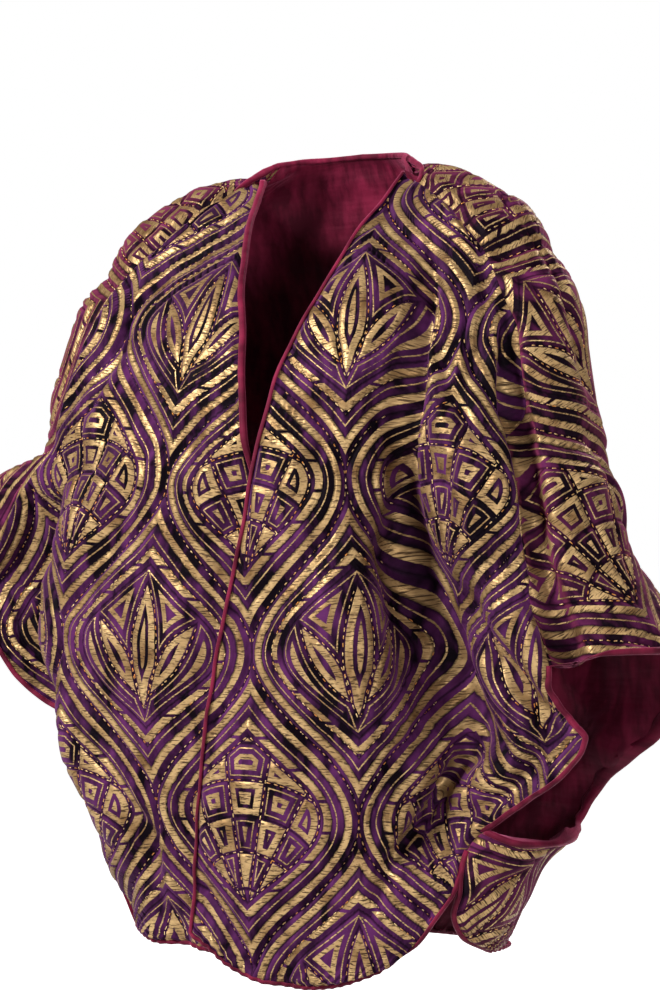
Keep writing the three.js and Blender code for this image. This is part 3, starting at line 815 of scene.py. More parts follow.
def pillow(cloth):
    """The whole cloth, with its lining, swells between the edges of the ovals and sinks
    along them: an exponential rise with the distance from the edge. Under the lap it lies
    low throughout, out of the way of the left front."""
    u, v = cloth.flat[..., 0], cloth.flat[..., 1]
    edge, square = oval_edge(repeat(v, OVAL_HIGH))
    depth = np.abs((edge - np.abs(repeat(u, OVAL_WIDE))) / square)
    swell = PILLOW_LOW + (PILLOW_HIGH - PILLOW_LOW) * (1 - np.exp(-depth / PILLOW_WIDE))
    swell = swell * (1 - near_edge(cloth))
    cloth.points = cloth.layer(swell + (PILLOW_LOW - swell) * cloth.lap)


for name, cloth in velvet.items():
    gold, quilt = design(cloth.flat[..., 0], cloth.flat[..., 1])
    pillow(cloth)
    cloth.outer = cloth.layer(puff(quilt, near_edge(cloth)))
    cloth.sink = sink(cloth)
    print(name, "gold covers", round(float((gold > 0).mean()) * 100), "percent")

# %% [markdown]
# ## Running stitches
# The quilting is sewn by hand with a thick gold thread, in stitches of about 5 mm with
# gaps of 3 mm. Each line of the design is followed on the flat cloth and cut into
# stitches. The places of the two ends of a stitch are then looked up on the worn cloth.
# The look-up is Newton's method: guess a place on the grid, see how far its flat place is
# from the wanted one, and step by that, until they meet.

# %% Lines of stitches in one oval of each kind
STITCH_LONG, STITCH_PITCH = 4.8, 7.6
SLIP, SHORT_SHARE, LONG_SHARE = 0.9, 0.75, 1.15  # how uneven a hand's stitches are
FAN_SPOKES, SPOKE_REACH = 4, (14, 170)  # on each side, and from and to in mm from the foot
SEWN_RINGS, RING_ANGLES = (2, 4), (0.02, 1.3)  # which rings, and from and to in radians
hand = np.random.default_rng(5)


def along_line(x, y):
    """Two ends of each stitch along a line of points: lengths from the start are spaced
    by the pitch, and x and y are read there."""
    length = np.concatenate([[0], np.cumsum(np.hypot(np.diff(x), np.diff(y)))])
    starts = np.arange(STITCH_PITCH / 3, length[-1] - STITCH_LONG, STITCH_PITCH)
    starts = starts + hand.uniform(-SLIP, SLIP, len(starts))
    ends = [starts, starts + STITCH_LONG * hand.uniform(SHORT_SHARE, LONG_SHARE, len(starts))]
    return np.stack([np.stack([np.interp(end, length, x), np.interp(end, length, y)], 1)
                     for end in ends], 1)


def both_sides(x, y):
    """The stitches of a line and of its mirror image."""
    line = along_line(x, y)
    return [line, line * [-1, 1]]


def oval_lines(deep):
    """The line at a distance inside the edge of an oval, on both its sides."""
    y = np.linspace(-OVAL_HIGH / 2, OVAL_HIGH / 2, 400)
    edge, square = oval_edge(y)
    x = edge - deep * square
    return both_sides(x[x > 0.5], y[x > 0.5])


def within_core(stitches):
    """The stitches whose middle lies inside the core of the oval."""
    middle = stitches.mean(1)
    edge, square = oval_edge(middle[:, 1])
    return stitches[(edge - np.abs(middle[:, 0])) / square > BAND_EDGES[4] + 1]


def fan_lines():
    """Spokes between the wedges and every second ring across them."""
    lines = []
    for k in range(FAN_SPOKES):
        reach, angle = np.linspace(*SPOKE_REACH, 200), (k + 0.5) * FAN_PITCH
        lines += both_sides(reach * sin(angle), reach * cos(angle) - FAN_FOOT)
    for k in SEWN_RINGS:
        reach, angle = (k - FIRST_RING) * FAN_RINGS, np.linspace(*RING_ANGLES, 120)
        lines += both_sides(reach * np.sin(angle), reach * np.cos(angle) - FAN_FOOT)
    return within_core(np.concatenate(lines))


def leaf_lines():
    """The outlines of the upright leaf and of the two leaning ones."""
    y = np.linspace(-LEAF_REACH, LEAF_REACH, 100)
    lines = both_sides(LEAF_HALF * (1 - (y / LEAF_REACH) ** 2), y)
    half, length, aside, low, tilt = SIDE_LEAF
    along = np.linspace(-length, length, 100)
    for sign in (-1, 1):
        across = sign * half * (1 - (along / length) ** 2)
        lines += both_sides(aside + across * cos(tilt) + along * sin(tilt),
                            along * cos(tilt) - across * sin(tilt) - low)
    return within_core(np.concatenate(lines))


fan_stitches = np.concatenate(oval_lines(0.0) + oval_lines(BAND_EDGES[4]) + [fan_lines()])
leaf_stitches = np.concatenate(oval_lines(BAND_EDGES[2]) + [leaf_lines()])
print("stitches in an oval:", len(fan_stitches), "with a fan,", len(leaf_stitches), "with leaves")


# %% From the flat cloth to the worn cloth
def read_grid(grid, row, column):
    """A value of a grid between its points: a blend of the four round it."""
    i = np.clip(np.floor(row).astype(int), 0, grid.shape[0] - 2)
    j = np.clip(np.floor(column).astype(int), 0, grid.shape[1] - 2)
    s, t = (row - i)[:, None], (column - j)[:, None]
    return ((1 - s) * ((1 - t) * grid[i, j] + t * grid[i, j + 1])
            + s * ((1 - t) * grid[i + 1, j] + t * grid[i + 1, j + 1]))


GUESS_SKIP, GUESS_BATCH, NEWTON_ROUNDS = 6, 2000, 14
FOUND_WITHIN = 0.6  # mm between a flat place and the wanted one


def look_up(cloth, wanted):
    """Rows and columns whose flat places are the wanted ones, and which were found. Each
    round steps by the miss over the change of the flat place with row and column."""
    guesses = cloth.flat[::GUESS_SKIP, ::GUESS_SKIP]
    row, column = np.zeros(len(wanted)), np.zeros(len(wanted))
    for part in np.array_split(np.arange(len(wanted)), 1 + len(wanted) // GUESS_BATCH):
        gap = ((guesses[None] - wanted[part][:, None, None]) ** 2).sum(-1).reshape(len(part), -1)
        i, j = np.unravel_index(gap.argmin(1), guesses.shape[:2])
        row[part], column[part] = i * GUESS_SKIP, j * GUESS_SKIP
    top, side = cloth.flat.shape[0] - 1.0, cloth.flat.shape[1] - 1.0
    for _ in range(NEWTON_ROUNDS):
        miss = wanted - read_grid(cloth.flat, row, column)
        (a, b), (c, d) = (
            (read_grid(cloth.flat, np.minimum(row + 0.5, top), column)
             - read_grid(cloth.flat, np.maximum(row - 0.5, 0), column)).T,
            (read_grid(cloth.flat, row, np.minimum(column + 0.5, side))
             - read_grid(cloth.flat, row, np.maximum(column - 0.5, 0))).T)
        area = a * d - b * c
        area = np.where(np.abs(area) < 1e-6, 1e-6, area)
        row = np.clip(row + (miss[:, 0] * d - miss[:, 1] * c) / area, 0, top)
        column = np.clip(column + (a * miss[:, 1] - b * miss[:, 0]) / area, 0, side)
    off = np.linalg.norm(wanted - read_grid(cloth.flat, row, column), axis=1)
    return row, column, off < FOUND_WITHIN


EDGE_CLEAR = 3.0  # stitches keep this far, in grid cells, from the edge of the cloth
SHORTEST, LONGEST = 0.5, 1.35  # of a stitch on the worn cloth, as shares of its length
MARGIN = 5  # mm round a flat piece in which stitches are tried


def wanted_stitches(low, high):
    """The flat ends of every stitch of both kinds of ovals between two corners (mm)."""
    ends = []
    for stitches, shift in ((fan_stitches, 0.0), (leaf_stitches, 0.5)):
        columns = np.arange(np.floor(low[0] / OVAL_WIDE) - 1, np.ceil(high[0] / OVAL_WIDE) + 2)
        rows = np.arange(np.floor(low[1] / OVAL_HIGH) - 1, np.ceil(high[1] / OVAL_HIGH) + 2)
        x, y = np.meshgrid((columns + shift) * OVAL_WIDE, (rows + shift) * OVAL_HIGH)
        middles = np.stack([x.ravel(), y.ravel()], 1)
        ends.append((middles[:, None, None] + stitches[None]).reshape(-1, 2, 2))
    ends = np.concatenate(ends)
    return ends[((ends > low - MARGIN) & (ends < high + MARGIN)).all((1, 2))]


def place_stitches(cloth):
    """Both ends of every stitch of a piece, and the cloth's normal at its first end (mm).
    Stitches beside the edge, and any that the shape would stretch or squash, are left
    out."""
    flat = cloth.flat.reshape(-1, 2)
    ends = wanted_stitches(flat.min(0), flat.max(0))
    rows, columns = cloth.flat.shape[:2]
    found_ends = [look_up(cloth, ends[:, k]) for k in (0, 1)]
    clear = found_ends[0][2] & found_ends[1][2]
    for row, column, _ in found_ends:
        clear &= (row > EDGE_CLEAR) & (row < rows - 1 - EDGE_CLEAR)
        clear &= (column > EDGE_CLEAR) & (column < columns - 1 - EDGE_CLEAR)
    (row_a, column_a), (row_b, column_b) = ((r[clear], c[clear]) for r, c, _ in found_ends)
    a = read_grid(cloth.outer, row_a, column_a)
    b = read_grid(cloth.outer, row_b, column_b)
    normal = unit(read_grid(cloth.normal, row_a, column_a))
    length = np.linalg.norm(b - a, axis=1)
    kept = (length > SHORTEST * STITCH_LONG) & (length < LONGEST * STITCH_LONG)
    return a[kept], b[kept], normal[kept]


THREAD_WIDE, THREAD_HIGH, THREAD_LIFT = 0.6, 0.55, 0.3
RING_POINTS, RING_AT, TIP_SUNK = 5, 0.62, 0.5  # the rings lie at a share of half the stitch
SPINDLE_POINTS = 2 * RING_POINTS + 2


def stitch_mesh(a, b, normal):
    """Spindles from a to b: two rings of five points and two sunken tips, for all the
    stitches at once."""
    middle, half = (a + b) / 2, (b - a) / 2
    side = unit(np.cross(half, normal))
    angle = np.arange(RING_POINTS) * 2 * pi / RING_POINTS + pi / 2
    ring = (side[:, None] * (THREAD_WIDE * np.cos(angle))[None, :, None]
            + normal[:, None] * (THREAD_HIGH * np.sin(angle))[None, :, None])
    lifted = middle + normal * THREAD_LIFT
    tips = [(middle + s * half - normal * TIP_SUNK)[:, None] for s in (-1, 1)]
    rings = [lifted[:, None] + s * RING_AT * half[:, None] + ring for s in (-1, 1)]
    points = np.concatenate([tips[0], rings[0], rings[1], tips[1]], axis=1)
    k = np.arange(RING_POINTS)
    after = (k + 1) % RING_POINTS
    first, second = 1, 1 + RING_POINTS  # where the points of each ring start
    quads = np.stack([first + k, second + k, second + after, first + after], 1)
    triangles = np.concatenate([
        np.stack([0 * k, first + k, first + after], 1),
        np.stack([0 * k + SPINDLE_POINTS - 1, second + after, second + k], 1)])
    starts = (np.arange(len(points)) * SPINDLE_POINTS)[:, None, None]
    return (points.reshape(-1, 3), (quads + starts).reshape(-1, 4),
            (triangles + starts).reshape(-1, 3))


# %% [markdown]
# ## Walls of cloth
# Velvet and lining are each a thin closed wall. The velvet's face carries the detail, so
# it has the fine grid. Its hidden side and both sides of the lining have every second row
# and column of it, sunk a little below the points that they skip, so that no layer cuts
# through the next. A strip of triangles joins the fine side to the coarse one.

# %% Meshes from whole arrays
def new_piece(name, points, quads, triangles, flat, material):
    """A mesh object from arrays of points (mm), faces and flat places (mm). The flat
    places become its UV map, in metres."""
    mesh = bpy.data.meshes.new(name)
    mesh.vertices.add(len(points))
    mesh.vertices.foreach_set("co", (points / 1000).astype(np.float32).ravel())
    corners = np.concatenate([quads.ravel(), triangles.ravel()]).astype(np.int32)
    sizes = np.concatenate([np.full(len(quads), 4), np.full(len(triangles), 3)])
    mesh.loops.add(len(corners))
    mesh.loops.foreach_set("vertex_index", corners)
    mesh.polygons.add(len(sizes))
    starts = np.concatenate([[0], np.cumsum(sizes)[:-1]]).astype(np.int32)
    mesh.polygons.foreach_set("loop_start", starts)
    mesh.polygons.foreach_set("use_smooth", np.ones(len(sizes), bool))
    layer = mesh.uv_layers.new(name="flat_cloth")
    layer.data.foreach_set("uv", (flat[corners] / 1000).astype(np.float32).ravel())
    mesh.update(calc_edges=True)
    mesh.materials.append(material)
    piece = bpy.data.objects.new(name, mesh)
    bpy.context.scene.collection.objects.link(piece)
    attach(piece, "root")
    return piece


def grid_quads(rows, columns, start=0):
    """Corner numbers of the cells of a grid whose points are numbered row by row."""
    a = (np.arange(rows - 1)[:, None] * columns + np.arange(columns - 1)).ravel() + start
    return np.stack([a, a + columns, a + columns + 1, a + 1], axis=1)


def lining_wall(inside, hidden, flat, flip):
    """A closed wall of two grids of the same size with a band of cells round them."""
    rows, columns = inside.shape[:2]
    start = rows * columns
    number = np.arange(start).reshape(rows, columns)
    ring = np.concatenate([number[0, :-1], number[:-1, -1], number[-1, :0:-1], number[:0:-1, 0]])
    after = np.roll(ring, -1)
    quads = np.concatenate([grid_quads(rows, columns), grid_quads(rows, columns, start)[:, ::-1],
                            np.stack([ring, after, after + start, ring + start], 1)])
    points = np.concatenate([inside.reshape(-1, 3), hidden.reshape(-1, 3)])
    return points, quads[:, ::-1] if flip else quads, np.concatenate([flat.reshape(-1, 2)] * 2)


def cloth_wall(outer, inner, flat, flip):
    """A closed wall: the fine outer grid, the inner grid of every second point turned the
    other way, and three triangles along each pair of outer border cells."""
    rows, columns = outer.shape[:2]
    inner_flat = flat[::2, ::2]
    few_rows, few_columns = inner.shape[:2]
    start = rows * columns
    quads = np.concatenate([grid_quads(rows, columns),
                            grid_quads(few_rows, few_columns, start)[:, ::-1]])
    number = np.arange(start).reshape(rows, columns)
    few = start + np.arange(few_rows * few_columns).reshape(few_rows, few_columns)
    borders = [(number[0, ::-1], few[0, ::-1]), (number[:, 0], few[:, 0]),
               (number[-1], few[-1]), (number[::-1, -1], few[::-1, -1])]
    triangles = []
    for fine, coarse in borders:
        a, b, c = fine[:-2:2], fine[1:-1:2], fine[2::2]
        d, e = coarse[:-1], coarse[1:]
        triangles += [np.stack([b, a, d], 1), np.stack([b, d, e], 1), np.stack([c, b, e], 1)]
    triangles = np.concatenate(triangles)
    if flip:
        quads, triangles = quads[:, ::-1], triangles[:, ::-1]
    points = np.concatenate([outer.reshape(-1, 3), inner.reshape(-1, 3)])
    places = np.concatenate([flat.reshape(-1, 2), inner_flat.reshape(-1, 2)])
    return points, quads, triangles, places


# %% [markdown]
# ## Finishes
# Velvet is dark where its pile points at the eye and bright where the pile lies over, so
# crushed velvet shows as soft patches of two colours. Its sheen towards its edges is mostly
# painted sheen, colour that turns as the surface turns away from the eye, over a weak real
# sheen. The pile is also painted lighter towards the hem, as painted light, and darker along
# the quilting, as painted shade. The gold is a thin stencilled film that breaks into
# hairlines as the cloth bends. Effects that more than one finish uses are node groups: they
# are built once, and give out only colours, masks and heights.

# %% Node groups
def new_group(name, inputs, outputs):
    """An empty node group with named sockets: (title, kind, default) and (title, kind)."""
    group = bpy.data.node_groups.new(name, "ShaderNodeTree")
    for title, kind, value in inputs:
        socket = group.interface.new_socket(title, in_out="INPUT", socket_type="NodeSocket" + kind)
        if value is not None:
            socket.default_value = value
    for title, kind in outputs:
        group.interface.new_socket(title, in_out="OUTPUT", socket_type="NodeSocket" + kind)
    return group, group.nodes.new("NodeGroupInput"), group.nodes.new("NodeGroupOutput")


def clamped(value):
    """The value kept between 0 and 1."""
    return step("MINIMUM", step("MAXIMUM", value, 0.0), 1.0)


def noise(tree, place, scale, stretch=(1, 1, 1), detail=2.0, turned=0.0):
    """Noise of a scale per metre, on a place stretched along its own axes, as a wire."""
    mapping = tree.nodes.new("ShaderNodeMapping")
    mapping.inputs["Scale"].default_value = stretch
    mapping.inputs["Rotation"].default_value = (0, 0, turned)
    texture = tree.nodes.new("ShaderNodeTexNoise")
    texture.inputs["Scale"].default_value = scale
    texture.inputs["Detail"].default_value = detail
    tree.links.new(place, mapping.inputs["Vector"])
    tree.links.new(mapping.outputs["Vector"], texture.inputs["Vector"])
    return Wire(tree, texture.outputs["Fac"])


def blend_colours(tree, first, second, share):
    """Colours mixed by a wire: first at 0 and second at 1. Each is a socket or a colour."""
    mix = tree.nodes.new("ShaderNodeMix")
    mix.data_type = "RGBA"
    tree.links.new(share.socket, mix.inputs[0])
    for value, socket in ((first, mix.inputs[6]), (second, mix.inputs[7])):
        if isinstance(value, tuple):
            socket.default_value = (*value, 1)
        else:
            tree.links.new(value, socket)
    return mix.outputs[2]


# %% The stencil as a node group
stencil, given, result = new_group(
    "stencil", [("Place", "Vector", None), ("Ragged", "Float", 0.9)],
    [("Gold", "Float"), ("Seam", "Float")])
place = given.outputs["Place"]
split = stencil.nodes.new("ShaderNodeSeparateXYZ")
stencil.links.new(place, split.inputs[0])
ragged = (noise(stencil, place, 420.0) - 0.5) * Wire(stencil, given.outputs["Ragged"])
gold_wire, quilt_wire = design(Wire(stencil, split.outputs["X"]) * 1000.0,
                               Wire(stencil, split.outputs["Y"]) * 1000.0)
stencil.links.new(clamped((gold_wire + ragged) * 2.5 + 0.5).socket, result.inputs["Gold"])
# Seam is 1 on a line of quilting and 0 from 1.9 mm beside it: the mask of the painted shade in the
# quilting valleys, and of the puckers.
stencil.links.new(clamped(1.0 - quilt_wire / 1.9).socket, result.inputs["Seam"])
print("stencil group:", len(stencil.nodes), "nodes")

# %% Crushed pile as a node group
crushed, given, result = new_group(
    "crushed_pile", [("Place", "Vector", None), ("Dark", "Color", None), ("Lit", "Color", None),
                     ("Lift", "Float", 0.0)],
    [("Colour", "Color"), ("Height", "Float")])
place = given.outputs["Place"]
patches = noise(crushed, place, 16.0, (1.0, 0.7, 1.0), 3.0)
streaks = noise(crushed, place, 75.0, (1.0, 0.35, 1.0), 3.0, 0.5)
pile = noise(crushed, place, 1500.0, (1, 1, 1), 1.0)
share = clamped((patches - 0.5) * 3.0 + (streaks - 0.5) * 2.8 + 0.16
                + Wire(crushed, given.outputs["Lift"]))
crushed.links.new(blend_colours(crushed, given.outputs["Dark"], given.outputs["Lit"], share),
                  result.inputs["Colour"])
crushed.links.new((pile * 0.35 + streaks).socket, result.inputs["Height"])
print("crushed pile group:", len(crushed.nodes), "nodes")

# %% Broken gold film as a node group
film, given, result = new_group(
    "gold_film", [("Place", "Vector", None), ("Crack", "Color", None), ("Worn", "Color", None),
                  ("Bright", "Color", None)],
    [("Colour", "Color"), ("Cracks", "Float")])
place = given.outputs["Place"]
tone = clamped((noise(film, place, 30.0, (1, 1, 1), 4.0) - 0.5) * 2.6 + 0.5)
hairs = clamped((noise(film, place, 300.0, (0.34, 2.3, 1.0), 2.0, 0.2) - 0.55) * 14.0)
cross_hairs = clamped((noise(film, place, 260.0, (0.4, 2.0, 1.0), 2.0, -0.5) - 0.60) * 12.0)
cracks = step("MAXIMUM", hairs, cross_hairs)
tinted = blend_colours(film, given.outputs["Worn"], given.outputs["Bright"], tone)
film.links.new(blend_colours(film, tinted, given.outputs["Crack"], cracks * 0.8),
               result.inputs["Colour"])
film.links.new(cracks.socket, result.inputs["Cracks"])
print("gold film group:", len(film.nodes), "nodes")


# %% Helpers for materials
def place_group(tree, group, **links):
    """A node group in a material, with sockets linked or set by name."""
    node = tree.nodes.new("ShaderNodeGroup")
    node.node_tree = group
    for title, value in links.items():
        socket = node.inputs[title]
        if isinstance(value, bpy.types.NodeSocket):
            tree.links.new(value, socket)
        else:
            socket.default_value = (*value, 1) if isinstance(value, tuple) else value
    return node


def new_material(name, **constants):
    """A material with its Principled shader, whose constant sockets are set by name."""
    material = bpy.data.materials.new(name)
    material.use_nodes = True
    tree = material.node_tree
    shader = tree.nodes["Principled BSDF"]
    for title, value in constants.items():
        shader.inputs[title.replace("_", " ")].default_value = value
    return material, tree, shader


def add_bump(tree, shader, height, distance):
    """A Bump node between a height and the shader's Normal."""
    bump = tree.nodes.new("ShaderNodeBump")
    bump.inputs["Strength"].default_value = 1.0
    bump.inputs["Distance"].default_value = distance
    tree.links.new(height.socket, bump.inputs["Height"])
    tree.links.new(bump.outputs["Normal"], shader.inputs["Normal"])


def facing_share(tree, start, gain):
    """How much a surface turns away from the eye: 0 up to start, then rising by gain."""
    weight = tree.nodes.new("ShaderNodeLayerWeight")
    weight.inputs["Blend"].default_value = 0.5
    return clamped((Wire(tree, weight.outputs["Facing"]) - start) * gain)


# %% The printed velvet
GOLD_WORN, GOLD_BRIGHT = (0.22, 0.12, 0.048), (0.66, 0.44, 0.205)
# the second colour is painted shade, for gold turned away from the eye
GOLD_CRACK, GOLD_PAINTED_SHADE_AWAY = (0.03, 0.012, 0.012), (0.20, 0.105, 0.045)  # in cracks, turned away
# painted shade along the quilting lines
QUILT_VALLEY_PAINTED_SHADE = (0.003, 0.0008, 0.003)


def printed_velvet(name, dark, lit, rim, hem_painted_light):
    """Velvet with the stencilled gold. Painted light makes the pile lighter towards the hem, by
    the last argument, and a painted sheen turns it to its rim colour where it turns away from
    the eye, where the gold gets painted shade."""
    material, tree, shader = new_material(name, Sheen_Weight=0.05, Sheen_Roughness=0.35,
                                          Sheen_Tint=(*rim, 1), Specular_IOR_Level=0.04)
    place = tree.nodes.new("ShaderNodeUVMap").outputs["UV"]
    where = tree.nodes.new("ShaderNodeTexCoord")
    height = tree.nodes.new("ShaderNodeSeparateXYZ")
    tree.links.new(where.outputs["Object"], height.inputs[0])
    # painted light: the pile is painted lighter downwards, from 0.25 m to 0.7 m below the origin
    painted_light_share = clamped(Wire(tree, height.outputs["Z"]) * -2.2 - 0.55) * hem_painted_light
    stencil_node = place_group(tree, stencil, Place=place, Ragged=0.9)
    pile_node = place_group(tree, crushed, Place=place, Dark=dark, Lit=lit)
    tree.links.new(painted_light_share.socket, pile_node.inputs["Lift"])
    film_node = place_group(tree, film, Place=place, Crack=GOLD_CRACK, Worn=GOLD_WORN,
                            Bright=GOLD_BRIGHT)
    gold = Wire(tree, stencil_node.outputs["Gold"])
    seam = Wire(tree, stencil_node.outputs["Seam"])
    # painted sheen and painted shade by the angle to the eye: the pile turns to the rim colour, and the
    # gold darkens, where the surface turns away
    away = facing_share(tree, 0.28, 1.5)
    pile = blend_colours(tree, pile_node.outputs["Colour"], rim, away * 0.75)
    foil = blend_colours(tree, film_node.outputs["Colour"], GOLD_PAINTED_SHADE_AWAY, away * 0.7)
    colour = blend_colours(tree, pile, foil, gold)
    # painted shade in the quilting valleys: the colour falls towards near black beside each stitched
    # line
    shaded = blend_colours(tree, colour, QUILT_VALLEY_PAINTED_SHADE, seam * 0.75)
    tree.links.new(shaded, shader.inputs["Base Color"])
    cracks = Wire(tree, film_node.outputs["Cracks"])
    tree.links.new((gold * (1.0 - cracks) * 0.45).socket, shader.inputs["Metallic"])
    tree.links.new((0.58 - gold * 0.16 + cracks * 0.1).socket, shader.inputs["Roughness"])
    pucker = noise(tree, place, 160.0, (1, 1, 1), 3.0)
    rise = (Wire(tree, pile_node.outputs["Height"]) * 0.25 + pucker * (0.6 + seam * 0.9)
            + gold * (1.0 - cracks) * 0.25)
    add_bump(tree, shader, rise, 0.0012)
    return material


# rim is the colour of the painted sheen and the tint of the weak real sheen
fronts_material = printed_velvet(
    "printed_velvet_fronts", dark=(0.003, 0.0006, 0.003), lit=(0.115, 0.022, 0.11),
    rim=(0.20, 0.055, 0.19), hem_painted_light=0.42)
# the back's lighter magenta pile and brighter rim are painted sheen, for its pile lying the other way
back_material = printed_velvet(
    "printed_velvet_back", dark=(0.006, 0.001, 0.005), lit=(0.14, 0.020, 0.085),
    rim=(0.34, 0.055, 0.13), hem_painted_light=0.25)
print("finishes:", fronts_material.name, back_material.name)

# %% [markdown]
# ## Lining, thread and ground
# The lining is the same crushed pile in burgundy, without the print, and it is pulled
# into small crinkles where it is held by the seams. The thread is a metal one of three
# tints, from copper to pale gold. The ground is nearly white, and glows by itself.

# %% Finishes of the lining, the thread and the ground
# the third colour is painted sheen, for the lining turned away from the eye
LINING_DARK, LINING_LIT, LINING_PAINTED_SHEEN = (0.085, 0.0035, 0.017), (0.25, 0.015, 0.052), (0.50, 0.09, 0.17)
lining_material, tree, shader = new_material(
    "lining_velvet", Sheen_Weight=0.35, Sheen_Roughness=0.3, Sheen_Tint=(1.0, 0.25, 0.45, 1),
    Roughness=0.6, Specular_IOR_Level=0.1)
place = tree.nodes.new("ShaderNodeUVMap").outputs["UV"]
pile_node = place_group(tree, crushed, Place=place, Dark=LINING_DARK, Lit=LINING_LIT, Lift=0.25)
# painted sheen: the lining turns to a bright pink where it turns away from the eye
tree.links.new(blend_colours(tree, pile_node.outputs["Colour"], LINING_PAINTED_SHEEN,
                             facing_share(tree, 0.35, 1.5) * 0.6), shader.inputs["Base Color"])
crinkle = noise(tree, place, 60.0, (0.22, 1.0, 1.0), 2.0)
add_bump(tree, shader, Wire(tree, pile_node.outputs["Height"]) * 0.3 + crinkle, 0.0025)

THREAD_COPPER, THREAD_GOLD, THREAD_PALE = (0.55, 0.20, 0.03), (0.50, 0.30, 0.09), (0.95, 0.72, 0.36)
thread_material, tree, shader = new_material("gold_thread", Metallic=0.5, Roughness=0.35)
where = tree.nodes.new("ShaderNodeTexCoord")
twist = noise(tree, where.outputs["Object"], 900.0)
kind = noise(tree, where.outputs["Object"], 110.0)
golden = blend_colours(tree, THREAD_GOLD, THREAD_PALE, clamped(twist * 2.0 - 0.5))
tree.links.new(blend_colours(tree, THREAD_COPPER, golden, clamped(kind * 5.0 - 1.9)),
               shader.inputs["Base Color"])

floor_material, tree, shader = new_material(
    "pale_floor", Roughness=0.9, Emission_Color=(1, 1, 1, 1), Emission_Strength=0.93)
where = tree.nodes.new("ShaderNodeTexCoord")
mottle = noise(tree, where.outputs["Object"], 3.0)
tree.links.new(blend_colours(tree, (0.86, 0.86, 0.86), (0.89, 0.89, 0.89), mottle),
               shader.inputs["Base Color"])
print("finishes:", lining_material.name, thread_material.name, floor_material.name)


# %% [markdown]
# ## Velvet and stitches
# Each cut piece of velvet becomes one closed wall, and takes the place of the plain wall
# of the frame. A thread in every stitch would be thousands of objects, so the stitches
# of a piece are one mesh.

# %% Velvet pieces
VELVET_WALL, LINING_GAP, LINING_WALL = 2.6, 0.45, 1.2
for name, cloth in velvet.items():
    wall = cloth_wall(cloth.outer, cloth.under(VELVET_WALL), cloth.flat, cloth.flip)
    piece = new_piece(name + "_velvet", *wall, back_material if name == "back" else fronts_material)
    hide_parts(name)
    (width, length), area = flat_size[name]
    print(piece.name, 2 * len(wall[1]) + len(wall[2]), "triangles")

# %% Stitch pieces
for name, cloth in velvet.items():
    points, quads, triangles = stitch_mesh(*place_stitches(cloth))
    no_places = np.zeros((len(points), 2))
    piece = new_piece("stitches_" + name, points, quads, triangles, no_places, thread_material)
    print(piece.name, len(points) // SPINDLE_POINTS, "stitches")

# %% [markdown]
# ## The rolled edge
# The lining is cut a little larger and rolled over the raw edge of the velvet, so every
# free edge of the jacket ends in a soft burgundy roll. Its section is a hooked loop: from
# the inside, round the edge, and back onto the face of the velvet. The loop is carried
# along the edge of the cloth, with one axis pointing out of the sheet and one along its
# normal. Inside the cuffs the loop also reaches in over the lining, as a pleated strip.

# %% The section of the roll
# each point is so far out of the sheet and so far up from its face, in mm
ROLL_SECTION = np.array([
    [-3.0, -4.7], [-1.2, -4.8], [0.6, -4.8], [1.9, -3.6], [2.3, -1.8], [2.0, 0.1], [1.1, 1.2],
    [-0.5, 1.7], [-2.0, 1.4], [-2.6, 0.5], [-1.2, -0.3], [0.2, -1.6], [-1.0, -3.4], [-2.8, -4.0],
])
TOP_POINT, FACE_POINTS = 7, (8, 9)  # the points of the section on the velvet's face
TOP_SHARE = 0.45  # of the width on the face, at the top point
# the strip's points of the section: number, share of its reach, depth under the face
STRIP = ((0, 1.0, 5.4), (1, 0.5, 5.9), (12, 0.5, 3.9), (13, 1.0, 4.6))
PLEAT_HIGH, PLEAT_REACH = 0.9, 0.1
CELLS_IN = 3  # how far inside the edge its direction is taken from
WIDTH_BLENDS, AXIS_BLENDS = 12, 4
print("the roll has", len(ROLL_SECTION), "points round")


# %% Paths along the edges of a piece
def edge_path(cloth, kind, side):
    """Row and column numbers along an edge: "neck", "front", "cuff", "vent" or "hem".
    All but the neck and the hem lie at the start or the end of the columns."""
    rows, columns = cloth.points.shape[:2]
    every = np.arange(rows)
    top, foot, vent = (cloth.row_at(k) for k in (CUFF_TOP, CUFF_FOOT, VENT_TOP))
    column = 0 if side == "start" else columns - 1
    if kind == "neck":
        return np.zeros(columns, int), np.arange(columns)
    if kind == "hem":
        return np.full(columns, rows - 1), np.arange(columns)
    chosen = {"front": every, "cuff": every[top:foot + 1], "vent": every[vent:]}[kind]
    return chosen, np.full(len(chosen), column)


def smoothed(values, times):
    """Values along a path, each the mean of itself and its neighbours, several times."""
    for _ in range(times):
        padded = np.concatenate([values[:1], values, values[-1:]])
        values = (padded[:-2] + 2 * padded[1:-1] + padded[2:]) / 4
    return values


def roll_path(cloth, edges):
    """Rows, columns and widths on the face along edges that follow one another. A point
    that two edges share is kept once, and their widths are smoothed into each other."""
    paths, widths = [], []
    for kind, side, backwards, width in edges:
        row, column = edge_path(cloth, kind, side)
        paths.append((row[::-1], column[::-1]) if backwards else (row, column))
        widths.append(np.full(len(row), width))
    row, column = (np.concatenate([path[k] for path in paths]) for k in (0, 1))
    fresh = np.concatenate([[True], (np.diff(row) != 0) | (np.diff(column) != 0)])
    return row[fresh], column[fresh], smoothed(np.concatenate(widths)[fresh], WIDTH_BLENDS)


